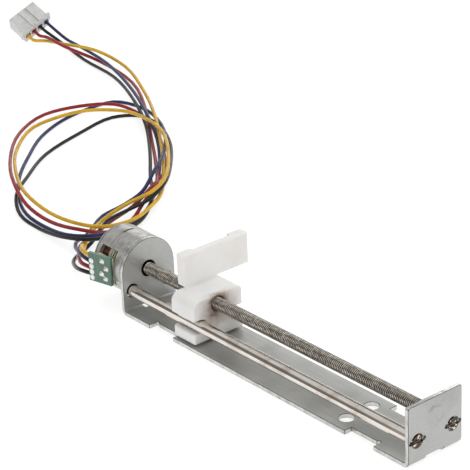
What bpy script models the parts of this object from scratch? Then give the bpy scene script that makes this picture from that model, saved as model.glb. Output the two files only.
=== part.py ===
"""Stepper motor linear slide: a bent sheet bracket with two guide rods and a lead screw,
a moulded carriage, a claw-pole motor and four leads that end in a small connector.

Metres, +Z up. The origin is at the centre of the bracket's underside. X runs along the
rods, with the motor at -X, and the screw's axis lies at SCREW_HEIGHT above the origin."""

import math

import bmesh
import bpy
from mathutils import Matrix, Vector

MM = 0.001

# Bracket: one strip of sheet bent up at both ends
BRACKET_LENGTH = 95.0 * MM
BRACKET_WIDTH = 15.0 * MM
SHEET = 1.0 * MM
BEND_INNER_RADIUS = 0.5 * MM
END_PLATE_HEIGHT = 13.8 * MM
END_PLATE_CORNER = 0.6 * MM
NOTCH_FROM_END = 10.3 * MM
NOTCH_LENGTH = 8.6 * MM
NOTCH_DEPTH = 2.0 * MM
NOTCH_CORNER = 0.5 * MM
SCREW_HOLE_DIAMETER = 3.4 * MM
SCREW_HOLE_PITCH = 7.2 * MM
SCREW_HOLE_FROM_END = 22.5 * MM
BEND_WINDOW_WIDTH = 5.0 * MM
BEND_WINDOW_RISE = 1.2 * MM
BEND_WINDOW_REACH = 2.5 * MM
SHAFT_HOLE_DIAMETER = 4.0 * MM
BOSS_DIAMETER = 4.8 * MM
BOSS_RISE = 0.7 * MM
BOSS_POCKET_DIAMETER = 3.8 * MM

# Guide rods and lead screw
SCREW_HEIGHT = 9.7 * MM
SCREW_DIAMETER = 3.0 * MM
SCREW_END_TO_PLATE = 1.4 * MM
JOURNAL_DIAMETER = 1.5 * MM
JOURNAL_LENGTH = 0.75 * MM
SHAFT_DIAMETER = 2.0 * MM
ROD_HEIGHT = 5.6 * MM
ROD_PITCH = 10.0 * MM
ROD_DIAMETER = 2.8 * MM
ROD_PROUD = 0.15 * MM
ROD_HOLE_DIAMETER = 3.2 * MM
STAKE_LENGTH = 4.6 * MM
STAKE_WIDTH = 0.9 * MM
STAKE_DEPTH = 0.4 * MM

# End bearing and thrust ball in the boss
BEARING_FLANGE_DIAMETER = 5.2 * MM
BEARING_FLANGE = 0.8 * MM
BEARING_BORE = 1.9 * MM
BALL_DIAMETER = 0.9 * MM

# Carriage
CARRIAGE_FROM_MOTOR_PLATE = 17.4 * MM
CARRIAGE_LENGTH = 8.0 * MM
CARRIAGE_WIDTH = 14.0 * MM
CARRIAGE_TOP = 12.0 * MM
CARRIAGE_FLOOR_GAP = 0.55 * MM
CARRIAGE_NEAR_CORNER = 2.2 * MM
CARRIAGE_FAR_CORNER = 1.2 * MM
CARRIAGE_BORE = 3.6 * MM
ROD_SLOT_HEIGHT = 3.2 * MM
ROD_SLOT_FLARE = 0.1 * MM
JAW_CORNER = 1.2 * MM
ARM_THICKNESS = 2.8 * MM
ARM_AHEAD_OF_BACK = 1.0 * MM
ARM_NEAR = -3.6 * MM
ARM_FAR = 15.2 * MM
ARM_BOTTOM = 12.35 * MM
ARM_TOP = 20.0 * MM
ARM_CORNER = 0.4 * MM
ARM_RECESS = 0.9 * MM
ARM_RECESS_NEAR = 0.3 * MM
ARM_RECESS_FAR = 11.2 * MM

# Motor shell
MOTOR_DIAMETER = 15.0 * MM
MOTOR_WALL = 0.5 * MM
FRONT_CAN_LENGTH = 5.7 * MM
REAR_CAN_LENGTH = 4.0 * MM
REAR_COVER_THICKNESS = 0.35 * MM
REAR_COVER_INSET = 0.15 * MM
BUSH_DIAMETER = 4.4 * MM
BUSH_LENGTH = 0.75 * MM
SEAM_GAP = 0.12 * MM
SEAM_SLOT_LENGTH = 3.0 * MM
SEAM_SLOT_WIDTH = 0.6 * MM
WINDOW_FROM_FRONT = 2.4 * MM
WINDOW_LENGTH = 6.0 * MM
WINDOW_BOTTOM = 6.2 * MM
WINDOW_TOP = 14.6 * MM

# Two stacks, each a cup and a yoke whose claws mesh round the magnet
CLAWS = 5
CLAW_INNER_RADIUS = 3.8 * MM
CLAW_THICKNESS = 0.45 * MM
CLAW_ROOT_WIDTH = 2.2 * MM
CLAW_TIP_WIDTH = 1.2 * MM
CLAW_LENGTH = 3.3 * MM
YOKE_THICKNESS = 0.5 * MM
STACK_LENGTH = 3.5 * MM
BOBBIN_BARREL = 0.3 * MM
BOBBIN_FLANGE = 0.4 * MM
COIL_BUILD = 1.3 * MM

# Rotor
MAGNET_DIAMETER = 7.0 * MM
MAGNET_BORE = 4.0 * MM
MAGNET_LENGTH = 7.5 * MM
WASHER_DIAMETER = 4.0 * MM
WASHER_THICKNESS = 0.2 * MM

# Circuit board, terminal block and pins
BOARD_LENGTH = 6.6 * MM
BOARD_HEIGHT = 7.2 * MM
BOARD_THICKNESS = 0.8 * MM
BOARD_BOTTOM = 6.45 * MM
BOARD_FROM_FRONT = 2.45 * MM
BOARD_PROUD = 0.75 * MM
BOARD_YAW = math.radians(13.0)
BLOCK_LENGTH = 5.2 * MM
BLOCK_BOTTOM = 6.7 * MM
BLOCK_TOP = 13.0 * MM
PIN_DIAMETER = 0.5 * MM
PIN_HOLE_DIAMETER = 0.8 * MM
PIN_PROUD = 0.45 * MM
PIN_PLACES = (
    (4.85 * MM, 12.3 * MM), (3.75 * MM, 10.6 * MM), (5.15 * MM, 9.0 * MM), (4.05 * MM, 8.0 * MM),
)
PAD_FROM_REAR = 0.5 * MM
PAD_HOLE_DIAMETER = 0.7 * MM

# Leads and connector
WIRE_DIAMETER = 1.0 * MM
LEAD_STEPS = 2
LEAD_LOWEST = WIRE_DIAMETER / 2 + 0.06 * MM
CONNECTOR_ENTRY = Vector((-220.0 * MM, 88.8 * MM, 2.0 * MM))
CONNECTOR_YAW = math.radians(190.4)
CONNECTOR_PITCH = math.radians(-27.0)
CONNECTOR_ROLL = math.radians(-25.0)
CONNECTOR_LENGTH = 7.4 * MM
CONNECTOR_WIDTH = 10.2 * MM
CONNECTOR_HEIGHT = 5.0 * MM
CONNECTOR_CORNER = 0.4 * MM
POSITION_PITCH = 2.5 * MM
TUNNEL = 1.9 * MM
RIB_HEIGHT = 0.5 * MM
RIB_WIDTH = 1.4 * MM
RIB_PLACES = (-2.05 * MM, 0.7 * MM)
EAR_WIDTH = 0.8 * MM
EAR_LENGTH = 1.2 * MM
EAR_HEIGHT = 3.0 * MM
CONTACT = 1.3 * MM
CONTACT_LENGTH = 5.5 * MM
CONTACT_FROM_ENTRY = 1.5 * MM

# Clearance between pieces that touch, and overlap of shapes that a Boolean joins
SEAT = 0.3 * MM
FINE_SEAT = 0.15 * MM
CLAW_SEAT = 0.4 * MM
OVERLAP = 0.2 * MM
CUT_PAST = 1.0 * MM

ROUND_STEPS = 32
SMALL_ROUND_STEPS = 20
ARC_STEPS = 6

# Places along X that several pieces share
NEAR_END = -BRACKET_LENGTH / 2
FAR_END = BRACKET_LENGTH / 2
BEND_OUTER_RADIUS = BEND_INNER_RADIUS + SHEET
MOTOR_PLATE_INNER = NEAR_END + SHEET
END_PLATE_INNER = FAR_END - SHEET
MOTOR_FRONT = NEAR_END - FINE_SEAT
FRONT_CAN_RIM = MOTOR_FRONT - FRONT_CAN_LENGTH
REAR_CAN_RIM = FRONT_CAN_RIM - SEAM_GAP
MOTOR_REAR = REAR_CAN_RIM - REAR_CAN_LENGTH
FRONT_STACK = MOTOR_FRONT - MOTOR_WALL - FINE_SEAT
FRONT_YOKE = FRONT_STACK - STACK_LENGTH - FINE_SEAT
REAR_YOKE = FRONT_YOKE - YOKE_THICKNESS - FINE_SEAT
REAR_STACK = REAR_YOKE - YOKE_THICKNESS - FINE_SEAT
CAN_RADIUS = MOTOR_DIAMETER / 2
CARRIAGE_BACK = MOTOR_PLATE_INNER + CARRIAGE_FROM_MOTOR_PLATE
CARRIAGE_BOTTOM = SHEET + CARRIAGE_FLOOR_GAP
BEARING_FACE = END_PLATE_INNER - SEAT - BEARING_FLANGE
SCREW_START = MOTOR_PLATE_INNER - SHEET + 0.2 * MM
SCREW_END = END_PLATE_INNER - SCREW_END_TO_PLATE
ROD_START = NEAR_END + FINE_SEAT
YOKE_RADIUS = CAN_RADIUS - MOTOR_WALL - FINE_SEAT
BOARD_FRONT = MOTOR_FRONT - BOARD_FROM_FRONT
BOARD_FRONT_FACE = -(CAN_RADIUS + BOARD_PROUD)
ROD_END = FAR_END + ROD_PROUD

# Route points of each lead in millimetres, from the board to the connector
ROUTES = {
    "yellow": (
        (-56.3, -8.2, 11.6), (-60.5, -8.4, 12.2), (-66.5, -4.4, 10.2), (-76, 2.2, 3.6),
        (-81.1, 6.7, 2.6), (-86.4, 12.4, 2), (-91.6, 21.3, 1.6), (-91.1, 27.6, 3.3),
        (-89.6, 33.3, 4.8), (-92.1, 39.8, 5.6), (-104.8, 51.4, 5.6), (-120.9, 61.6, 4.9),
        (-132.9, 65, 4.2), (-145.1, 66, 2.8), (-154, 60, 2.1), (-156.2, 52.1, 1.9),
        (-156, 42.5, 1.3), (-146.6, 30.7, 1.2), (-131.3, 19.8, 2.5), (-114.9, 11.9, 3.5),
        (-102.4, 10.5, 2.5), (-90.5, 11.1, 3), (-83.1, 13.9, 3.7), (-82, 21.2, 3.3),
        (-85.3, 29.3, 2.9), (-91.3, 38.1, 2.5), (-100.5, 46.2, 3.2), (-117, 58.2, 3),
        (-132.9, 68.6, 3.6), (-153.6, 80.4, 2.5), (-173.8, 88.7, 2.8), (-188.8, 89, 4),
        (-205.7, 87.4, 2.5), (-213.1, 87, 1.6), (-216.79, 84.86, 1.52), (-218.19, 84.6, 2.24),
        (-219.86, 84.3, 3.11),
    ),
    "red": (
        (-56.3, -8.2, 8.8), (-60.5, -8.6, 8.8), (-66.5, -5.6, 7.2), (-76, 0.8, 3),
        (-81.7, 5.5, 1.8), (-85.8, 11.8, 0.6), (-88.5, 19.3, 1.4), (-90.8, 28.5, 2.1),
        (-94.8, 37.7, 3.4), (-104.7, 49.5, 1.1), (-118.6, 60, 0.8), (-133.9, 68.2, 0.6),
        (-143.9, 69.6, 1.9), (-151.5, 67.8, 2.5), (-158.9, 61.1, 1.8), (-162, 50.7, 1.3),
        (-154.9, 37.3, 1.6), (-137.9, 22.6, 2.9), (-122.7, 13.5, 3.7), (-110.8, 9.3, 2.3),
        (-98.5, 8, 2), (-85.5, 8.1, 4), (-81.9, 13.3, 2.7), (-85.6, 24, 1.3), (-90.7, 31.9, 2.1),
        (-91.8, 36.6, 4.6), (-106.6, 48.4, 2.5), (-124.6, 60.7, 1.3), (-139.9, 70.7, 2.6),
        (-163.4, 83.5, 1.7), (-187.8, 89.1, 0.8), (-201.9, 86.2, 2.8), (-211.7, 86.7, 3.2),
        (-216.73, 87.17, 2.46), (-218.13, 86.92, 3.18), (-219.79, 86.61, 4.05),
    ),
    "black": (
        (-56.3, -8.2, 7.4), (-60.5, -8.9, 7.2), (-66.5, -6.8, 5.4), (-76, -0.6, 2),
        (-81.2, 6.2, 0.6), (-81.8, 9, 1.6), (-87.2, 17.6, 2.6), (-88.9, 26.1, 2.7),
        (-89.2, 32.6, 3.3), (-91.9, 39.4, 4.2), (-104.6, 51.8, 2.7), (-122, 64.8, 0.8),
        (-134.5, 70.2, 0.6), (-143.3, 70.1, 0.6), (-147.5, 63.9, 0.6), (-144.6, 50.7, 0.6),
        (-138.5, 34.7, 0.7), (-127.6, 21.2, 1.6), (-118.4, 11.2, 1.9), (-109.3, 6.2, 0.9),
        (-99.1, 5.2, 0.6), (-84.4, 4.2, 3.3), (-77.3, 7.4, 4.4), (-79.2, 16.8, 2.8),
        (-84, 26.6, 1.6), (-92.5, 36.2, 2), (-103.6, 44.1, 1.6), (-116.6, 54, 2.3),
        (-132.5, 64.7, 2.7), (-149, 73.1, 3.1), (-172.3, 83.1, 1.4), (-192.6, 86.9, 0.6),
        (-212.7, 91, 1.2), (-216.66, 89.49, 3.4), (-218.07, 89.23, 4.13), (-219.73, 88.93, 4.99),
    ),
    "blue": (
        (-56.3, -8.2, 10.2), (-60.5, -8.3, 10.6), (-66.5, -5.8, 9.4), (-76, 0, 5.2),
        (-86.9, 8.5, 0.6), (-87.5, 11.4, 0.8), (-94.2, 21.2, 0.6), (-95.1, 28.8, 1.1),
        (-95.6, 35.2, 2.6), (-99, 41.7, 5), (-111, 54.9, 4.2), (-129.4, 68, 2.4),
        (-147.2, 74.2, 0.9), (-157.1, 71.8, 0.6), (-157.9, 62, 0.6), (-155.8, 52.3, 0.6),
        (-149.8, 40.9, 0.7), (-140.8, 30.6, 0.8), (-131.3, 21, 0.6), (-119.7, 12.7, 0.6),
        (-109, 7.9, 0.6), (-97.9, 6.5, 0.9), (-85.2, 5.7, 3.2), (-79.3, 9.1, 4.2),
        (-81.8, 19.7, 2.1), (-88.2, 30.4, 0.7), (-97, 40.5, 0.6), (-109.1, 51.4, 0.8),
        (-121.9, 60.7, 2), (-137.2, 68.6, 3.8), (-158.7, 78.9, 3.2), (-179.8, 86.2, 3),
        (-201.3, 91, 2), (-210.3, 92.7, 1.6), (-216.6, 91.81, 4.34), (-218, 91.55, 5.07),
        (-219.67, 91.24, 5.93),
    ),
}


def clear_scene():
    for obj in list(bpy.data.objects):
        bpy.data.objects.remove(obj, do_unlink=True)


def new_collection(name):
    group = bpy.data.collections.new(name)
    bpy.context.scene.collection.children.link(group)
    return group


def principled(name, colour, roughness, metallic=0.0):
    material = bpy.data.materials.new(name)
    material.use_nodes = True
    shader = material.node_tree.nodes["Principled BSDF"]
    shader.inputs["Base Color"].default_value = (*colour, 1.0)
    shader.inputs["Roughness"].default_value = roughness
    shader.inputs["Metallic"].default_value = metallic
    material.diffuse_color = (*colour, 1.0)
    return material


def add_object(name, mesh, group, material=None):
    obj = bpy.data.objects.new(name, mesh)
    group.objects.link(obj)
    if material:
        obj.data.materials.append(material)
    return obj


def from_bmesh(name, shape):
    mesh = bpy.data.meshes.new(name)
    bmesh.ops.recalc_face_normals(shape, faces=shape.faces[:])
    shape.to_mesh(mesh)
    shape.free()
    return mesh


def hide_cutter(obj):
    obj.hide_render = True
    obj.display_type = "WIRE"
    return obj


def curve_to_mesh(obj, group, material=None):
    """The curve's own mesh, with its caps welded and flat, in place of the curve."""
    bpy.context.view_layer.update()
    evaluated = obj.evaluated_get(bpy.context.evaluated_depsgraph_get())
    mesh = bpy.data.meshes.new_from_object(evaluated)
    shape = bmesh.new()
    shape.from_mesh(mesh)
    bmesh.ops.remove_doubles(shape, verts=shape.verts[:], dist=1e-7)
    bmesh.ops.dissolve_limit(
        shape, angle_limit=math.radians(0.1), verts=shape.verts[:], edges=shape.edges[:]
    )
    bmesh.ops.recalc_face_normals(shape, faces=shape.faces[:])
    shape.to_mesh(mesh)
    shape.free()
    name = obj.name
    place = obj.matrix_world.copy()
    bpy.data.objects.remove(obj, do_unlink=True)
    mesh.name = name
    made = add_object(name, mesh, group, material)
    made.matrix_world = place
    return made


# Turns an outline's local X, Y and depth into world axes
FACING = {
    "X": Matrix(((0, 0, 1, 0), (1, 0, 0, 0), (0, 1, 0, 0), (0, 0, 0, 1))),
    "Y": Matrix(((1, 0, 0, 0), (0, 0, -1, 0), (0, 1, 0, 0), (0, 0, 0, 1))),
    "Z": Matrix.Identity(4),
}


def prism(name, outline, axis, low, high, group, material=None):
    """A flat outline given thickness along a world axis, between two places on it."""
    curve = bpy.data.curves.new(name, "CURVE")
    curve.dimensions = "2D"
    curve.fill_mode = "BOTH"
    curve.extrude = (high - low) / 2
    spline = curve.splines.new("POLY")
    spline.points.add(len(outline) - 1)
    for point, (u, v) in zip(spline.points, outline):
        point.co = (u, v, 0.0, 1.0)
    spline.use_cyclic_u = True
    obj = add_object(name, curve, group)
    middle = (low + high) / 2
    shift = {"X": (middle, 0, 0), "Y": (0, middle, 0), "Z": (0, 0, middle)}[axis]
    obj.matrix_world = Matrix.Translation(shift) @ FACING[axis]
    return curve_to_mesh(obj, group, material)


def box(name, low, high, group, material=None):
    shape = bmesh.new()
    bmesh.ops.create_cube(shape, size=1.0)
    size = Vector(high) - Vector(low)
    bmesh.ops.scale(shape, vec=size, verts=shape.verts[:])
    obj = add_object(name, from_bmesh(name, shape), group, material)
    obj.location = (Vector(low) + Vector(high)) / 2
    return obj


def turned(name, profile, group, material=None, steps=ROUND_STEPS, closed=True):
    """A profile of (place along X, radius) turned about the screw's axis. A closed profile
    is a ring; an open one starts and ends on the axis. It starts at its +X end."""
    mesh = bpy.data.meshes.new(name)
    shape = bmesh.new()
    points = [shape.verts.new((radius, 0.0, along)) for along, radius in profile]
    for first, second in zip(points, points[1:]):
        shape.edges.new((first, second))
    if closed:
        shape.edges.new((points[-1], points[0]))
    shape.to_mesh(mesh)
    shape.free()
    obj = add_object(name, mesh, group, material)
    obj.location = (0.0, 0.0, SCREW_HEIGHT)
    obj.rotation_euler = (0.0, math.radians(90.0), 0.0)
    turn = obj.modifiers.new("turn", "SCREW")
    turn.axis = "Z"
    turn.steps = steps
    turn.render_steps = steps
    turn.use_merge_vertices = True
    turn.merge_threshold = 1e-6
    turn.use_smooth_shade = False
    return obj


def ring(name, front, rear, inner, outer, group, material=None, steps=ROUND_STEPS):
    """A plain ring about the screw's axis, from front (+X) to rear."""
    profile = [(front, inner), (front, outer), (rear, outer), (rear, inner)]
    return turned(name, profile, group, material, steps)


def round_bar(name, axis, centre, radius, low, high, group, material=None, steps=SMALL_ROUND_STEPS):
    """A cylinder along a world axis, between two places on it."""
    shape = bmesh.new()
    bmesh.ops.create_cone(
        shape, cap_ends=True, segments=steps, radius1=radius, radius2=radius, depth=high - low
    )
    obj = add_object(name, from_bmesh(name, shape), group, material)
    middle = (low + high) / 2
    places = {"X": (middle, *centre), "Y": (centre[0], middle, centre[1]), "Z": (*centre, middle)}
    obj.matrix_world = Matrix.Translation(places[axis]) @ FACING[axis]
    return obj


def combine(obj, other, operation):
    step = obj.modifiers.new(other.name, "BOOLEAN")
    step.operation = operation
    step.object = other
    step.solver = "EXACT"
    return hide_cutter(other)


def cut(obj, *others):
    for other in others:
        combine(obj, other, "DIFFERENCE")


def join(obj, *others):
    for other in others:
        combine(obj, other, "UNION")


def arc(centre, radius, start, end, steps=ARC_STEPS):
    """Points on an arc, from one angle in degrees to another, both ends included."""
    angles = [math.radians(start + (end - start) * i / steps) for i in range(steps + 1)]
    return [(centre[0] + radius * math.cos(a), centre[1] + radius * math.sin(a)) for a in angles]


def stadium(centre, length, width):
    """A slot with round ends, its length along the outline's first axis."""
    reach = length / 2 - width / 2
    right = arc((centre[0] + reach, centre[1]), width / 2, -90, 90)
    left = arc((centre[0] - reach, centre[1]), width / 2, 90, 270)
    return right + left


def strip_side_view():
    """The bent sheet seen along Y: base, two bends and two upright plates."""
    top_near = SCREW_HEIGHT + CAN_RADIUS
    inner_near = (MOTOR_PLATE_INNER + BEND_INNER_RADIUS, SHEET + BEND_INNER_RADIUS)
    inner_far = (END_PLATE_INNER - BEND_INNER_RADIUS, SHEET + BEND_INNER_RADIUS)
    outline = arc((inner_near[0], inner_near[1]), BEND_OUTER_RADIUS, 180, 270)
    outline += arc((inner_far[0], inner_far[1]), BEND_OUTER_RADIUS, 270, 360)
    outline += [(FAR_END, END_PLATE_HEIGHT), (END_PLATE_INNER, END_PLATE_HEIGHT)]
    outline += arc(inner_far, BEND_INNER_RADIUS, 360, 270)
    outline += arc(inner_near, BEND_INNER_RADIUS, 270, 180)
    outline += [(MOTOR_PLATE_INNER, top_near), (NEAR_END, top_near)]
    return outline


def top_trim(name, middle, top, corner, cutters, steps=ARC_STEPS):
    """Removes what lies outside a plate's rounded top corners."""
    half = BRACKET_WIDTH / 2
    beyond = half + CUT_PAST
    low = top - corner
    outline = [(-beyond, low), (-half, low)]
    outline += arc((-half + corner, low), corner, 180, 90, steps)[1:]
    outline += arc((half - corner, low), corner, 90, 0, steps)
    outline += [(beyond, low), (beyond, top + CUT_PAST), (-beyond, top + CUT_PAST)]
    start = middle - SHEET / 2 - CUT_PAST / 2
    end = middle + SHEET / 2 + CUT_PAST / 2
    return prism(name, outline, "X", start, end, cutters)


def make_bracket(parts, cutters, steel):
    half = BRACKET_WIDTH / 2
    bracket = prism("bracket", strip_side_view(), "Y", -half, half, parts, steel)
    motor_plate_middle = NEAR_END + SHEET / 2
    end_plate_middle = FAR_END - SHEET / 2
    boss = round_bar(
        "boss", "X", (0.0, SCREW_HEIGHT), BOSS_DIAMETER / 2,
        END_PLATE_INNER + SHEET / 2, FAR_END + BOSS_RISE, cutters,
    )
    join(bracket, boss)
    pocket = round_bar(
        "boss_pocket", "X", (0.0, SCREW_HEIGHT), BOSS_POCKET_DIAMETER / 2,
        END_PLATE_INNER - CUT_PAST, END_PLATE_INNER + BOSS_RISE, cutters,
    )
    cut(bracket, pocket)
    motor_top = SCREW_HEIGHT + CAN_RADIUS
    cut(bracket, top_trim("motor_plate_top", motor_plate_middle, motor_top, half, cutters, 14))
    cut(
        bracket,
        top_trim("end_plate_top", end_plate_middle, END_PLATE_HEIGHT, END_PLATE_CORNER, cutters, 3),
    )
    shaft_hole = round_bar(
        "shaft_hole", "X", (0.0, SCREW_HEIGHT), SHAFT_HOLE_DIAMETER / 2,
        NEAR_END - CUT_PAST, MOTOR_PLATE_INNER + CUT_PAST, cutters, steps=ROUND_STEPS,
    )
    cut(bracket, shaft_hole)
    for side, way in (("front", -1), ("rear", 1)):
        centre = (way * ROD_PITCH / 2, ROD_HEIGHT)
        for end, low, high in (
            ("motor", NEAR_END - CUT_PAST, MOTOR_PLATE_INNER + CUT_PAST),
            ("end", END_PLATE_INNER - CUT_PAST, FAR_END + CUT_PAST),
        ):
            name = f"rod_hole_{end}_{side}"
            cut(bracket, round_bar(name, "X", centre, ROD_HOLE_DIAMETER / 2, low, high, cutters))
        slot = stadium(centre, STAKE_LENGTH, STAKE_WIDTH)
        cut(bracket, prism(f"stake_{side}", slot, "X", FAR_END - STAKE_DEPTH, FAR_END + CUT_PAST, cutters))
    for end, way in (("motor", -1), ("end", 1)):
        hole_x = way * (BRACKET_LENGTH / 2 - SCREW_HOLE_FROM_END)
        window_inner = way * (BRACKET_LENGTH / 2 - BEND_WINDOW_REACH)
        window_outer = way * (BRACKET_LENGTH / 2 + CUT_PAST)
        window = box(
            f"bend_window_{end}",
            (min(window_inner, window_outer), -BEND_WINDOW_WIDTH / 2, -CUT_PAST),
            (max(window_inner, window_outer), BEND_WINDOW_WIDTH / 2, BEND_WINDOW_RISE),
            cutters,
        )
        cut(bracket, window)
        notch_outer = BRACKET_LENGTH / 2 - NOTCH_FROM_END
        notch_inner = notch_outer - NOTCH_LENGTH
        for side, across in (("front", -1), ("rear", 1)):
            hole = (hole_x, across * SCREW_HOLE_PITCH / 2)
            cut(
                bracket,
                round_bar(
                    f"screw_hole_{end}_{side}", "Z", hole, SCREW_HOLE_DIAMETER / 2,
                    -CUT_PAST, SHEET + CUT_PAST, cutters,
                ),
            )
            outline = [
                (notch_outer, half + CUT_PAST),
                (notch_outer, half),
                *arc((notch_outer - NOTCH_CORNER, half - NOTCH_DEPTH), NOTCH_CORNER, 0, -180, 6),
                (notch_outer - 2 * NOTCH_CORNER, half - NOTCH_DEPTH),
                (notch_inner, half - NOTCH_DEPTH),
                (notch_inner, half + CUT_PAST),
            ]
            placed = [(way * x, across * y) for x, y in outline]
            cut(bracket, prism(f"notch_{end}_{side}", placed, "Z", -CUT_PAST, SHEET + CUT_PAST, cutters))
    return bracket


def make_rods(parts, cutters, steel):
    for side, way in (("front", -1), ("rear", 1)):
        centre = (way * ROD_PITCH / 2, ROD_HEIGHT)
        rod = round_bar(
            f"guide_rod_{side}", "X", centre, ROD_DIAMETER / 2, ROD_START, ROD_END, parts, steel
        )
        across = ROD_DIAMETER
        low = (ROD_END - ROD_PROUD - STAKE_DEPTH, centre[0] - across, centre[1] - STAKE_WIDTH / 2)
        high = (ROD_END + CUT_PAST, centre[0] + across, centre[1] + STAKE_WIDTH / 2)
        cut(rod, box(f"rod_stake_{side}", low, high, cutters))


def make_lead_screw(parts, steel):
    journal_end = SCREW_END + JOURNAL_LENGTH
    shaft_end = MOTOR_REAR + FINE_SEAT
    profile = [
        (journal_end, 0.0),
        (journal_end, JOURNAL_DIAMETER / 2),
        (SCREW_END, JOURNAL_DIAMETER / 2),
        (SCREW_END, SCREW_DIAMETER / 2 - 0.3 * MM),
        (SCREW_END - 0.3 * MM, SCREW_DIAMETER / 2),
        (SCREW_START, SCREW_DIAMETER / 2),
        (SCREW_START, SHAFT_DIAMETER / 2),
        (shaft_end, SHAFT_DIAMETER / 2),
        (shaft_end, 0.0),
    ]
    return turned("lead_screw", profile, parts, steel, SMALL_ROUND_STEPS, closed=False)


def make_end_bearing(parts, plastic, steel):
    pocket_floor = END_PLATE_INNER + BOSS_RISE
    spigot = BOSS_POCKET_DIAMETER / 2 - FINE_SEAT
    profile = [
        (pocket_floor - SEAT, BEARING_BORE / 2),
        (pocket_floor - SEAT, spigot),
        (END_PLATE_INNER - SEAT, spigot),
        (END_PLATE_INNER - SEAT, BEARING_FLANGE_DIAMETER / 2),
        (BEARING_FACE, BEARING_FLANGE_DIAMETER / 2),
        (BEARING_FACE, BEARING_BORE / 2),
    ]
    turned("end_bearing", profile, parts, plastic, SMALL_ROUND_STEPS)
    shape = bmesh.new()
    bmesh.ops.create_uvsphere(shape, u_segments=12, v_segments=8, radius=BALL_DIAMETER / 2)
    ball = add_object("thrust_ball", from_bmesh("thrust_ball", shape), parts, steel)
    ball.location = (pocket_floor - SEAT - BALL_DIAMETER / 2, 0.0, SCREW_HEIGHT)


def carriage_block_outline():
    """The block seen along X, with a slot for each rod open to the side and a little flared."""
    half = CARRIAGE_WIDTH / 2
    slot = ROD_SLOT_HEIGHT / 2
    mouth = slot + ROD_SLOT_FLARE
    rod = ROD_PITCH / 2
    near = CARRIAGE_NEAR_CORNER
    far = CARRIAGE_FAR_CORNER
    outline = [(-half, CARRIAGE_BOTTOM), (half, CARRIAGE_BOTTOM), (half, ROD_HEIGHT - mouth)]
    outline += arc((rod, ROD_HEIGHT), slot, 270, 90, 10)
    outline += [(half, ROD_HEIGHT + mouth)]
    outline += arc((half - far, CARRIAGE_TOP - far), far, 0, 90, 4)
    outline += arc((-half + near, CARRIAGE_TOP - near), near, 90, 180, 6)
    outline += [(-half, ROD_HEIGHT + mouth)]
    outline += arc((-rod, ROD_HEIGHT), slot, 90, -90, 10)
    outline += [(-half, ROD_HEIGHT - mouth)]
    return outline


def arm_plan():
    """The upright arm seen from above, with the shallow recess in its back."""
    front = CARRIAGE_BACK + ARM_AHEAD_OF_BACK
    back = front - ARM_THICKNESS
    r = ARM_CORNER
    outline = arc((front - r, ARM_NEAR + r), r, 270, 360, 3)
    outline += arc((front - r, ARM_FAR - r), r, 0, 90, 3)
    outline += arc((back + r, ARM_FAR - r), r, 90, 180, 3)
    outline += [(back, ARM_RECESS_FAR), (back + ARM_RECESS, ARM_RECESS_FAR)]
    outline += [(back + ARM_RECESS, ARM_RECESS_NEAR), (back, ARM_RECESS_NEAR)]
    outline += arc((back + r, ARM_NEAR + r), r, 180, 270, 3)
    return outline


def make_carriage(parts, cutters, plastic):
    front = CARRIAGE_BACK + CARRIAGE_LENGTH
    carriage = prism("carriage", carriage_block_outline(), "X", CARRIAGE_BACK, front, parts, plastic)
    arm = prism("arm", arm_plan(), "Z", ARM_BOTTOM, ARM_TOP, cutters)
    root_far = CARRIAGE_WIDTH / 2 - CARRIAGE_FAR_CORNER - OVERLAP
    root = box(
        "arm_root",
        (CARRIAGE_BACK + OVERLAP, ARM_NEAR + ARM_CORNER, CARRIAGE_TOP - CARRIAGE_FAR_CORNER),
        (CARRIAGE_BACK + ARM_AHEAD_OF_BACK, root_far, ARM_BOTTOM + OVERLAP),
        cutters,
    )
    join(carriage, root, arm)
    bore = round_bar(
        "carriage_bore", "X", (0.0, SCREW_HEIGHT), CARRIAGE_BORE / 2,
        CARRIAGE_BACK - ARM_THICKNESS - CUT_PAST, front + CUT_PAST, cutters,
    )
    cut(carriage, bore)
    jaw_top = ROD_HEIGHT - ROD_SLOT_HEIGHT / 2
    low = CARRIAGE_BACK
    r = JAW_CORNER
    half = CARRIAGE_WIDTH / 2
    for side, way in (("front", -1), ("rear", 1)):
        corner = [(low - CUT_PAST, half + CUT_PAST), (low - CUT_PAST, half - r)]
        corner += arc((low + r, half - r), r, 180, 90, 5)
        corner += [(low + r, half + CUT_PAST)]
        placed = [(x, way * y) for x, y in corner]
        name = f"jaw_corner_{side}"
        cut(
            carriage,
            prism(name, placed, "Z", CARRIAGE_BOTTOM - CUT_PAST, jaw_top + OVERLAP, cutters),
        )
    return carriage


def claw_set(name, root, way, first_angle, cutters):
    """Claws that stand along X from their root, tapering to the tip, way +1 towards +X."""
    shape = bmesh.new()
    radius = CLAW_INNER_RADIUS + CLAW_THICKNESS / 2
    length = CLAW_LENGTH + OVERLAP
    for number in range(CLAWS):
        made = bmesh.ops.create_cube(shape, size=1.0)["verts"]
        for vert in made:
            at_tip = vert.co.x > 0
            width = CLAW_TIP_WIDTH if at_tip else CLAW_ROOT_WIDTH
            along = length if at_tip else 0.0
            vert.co = Vector((
                root - way * OVERLAP + way * along,
                math.copysign(width / 2, vert.co.y),
                radius + math.copysign(CLAW_THICKNESS / 2, vert.co.z),
            ))
        angle = first_angle + number * 2 * math.pi / CLAWS
        bmesh.ops.rotate(shape, verts=made, cent=(0, 0, 0), matrix=Matrix.Rotation(angle, 3, "X"))
    obj = add_object(name, from_bmesh(name, shape), cutters)
    obj.location = (0.0, 0.0, SCREW_HEIGHT)
    return obj


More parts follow.
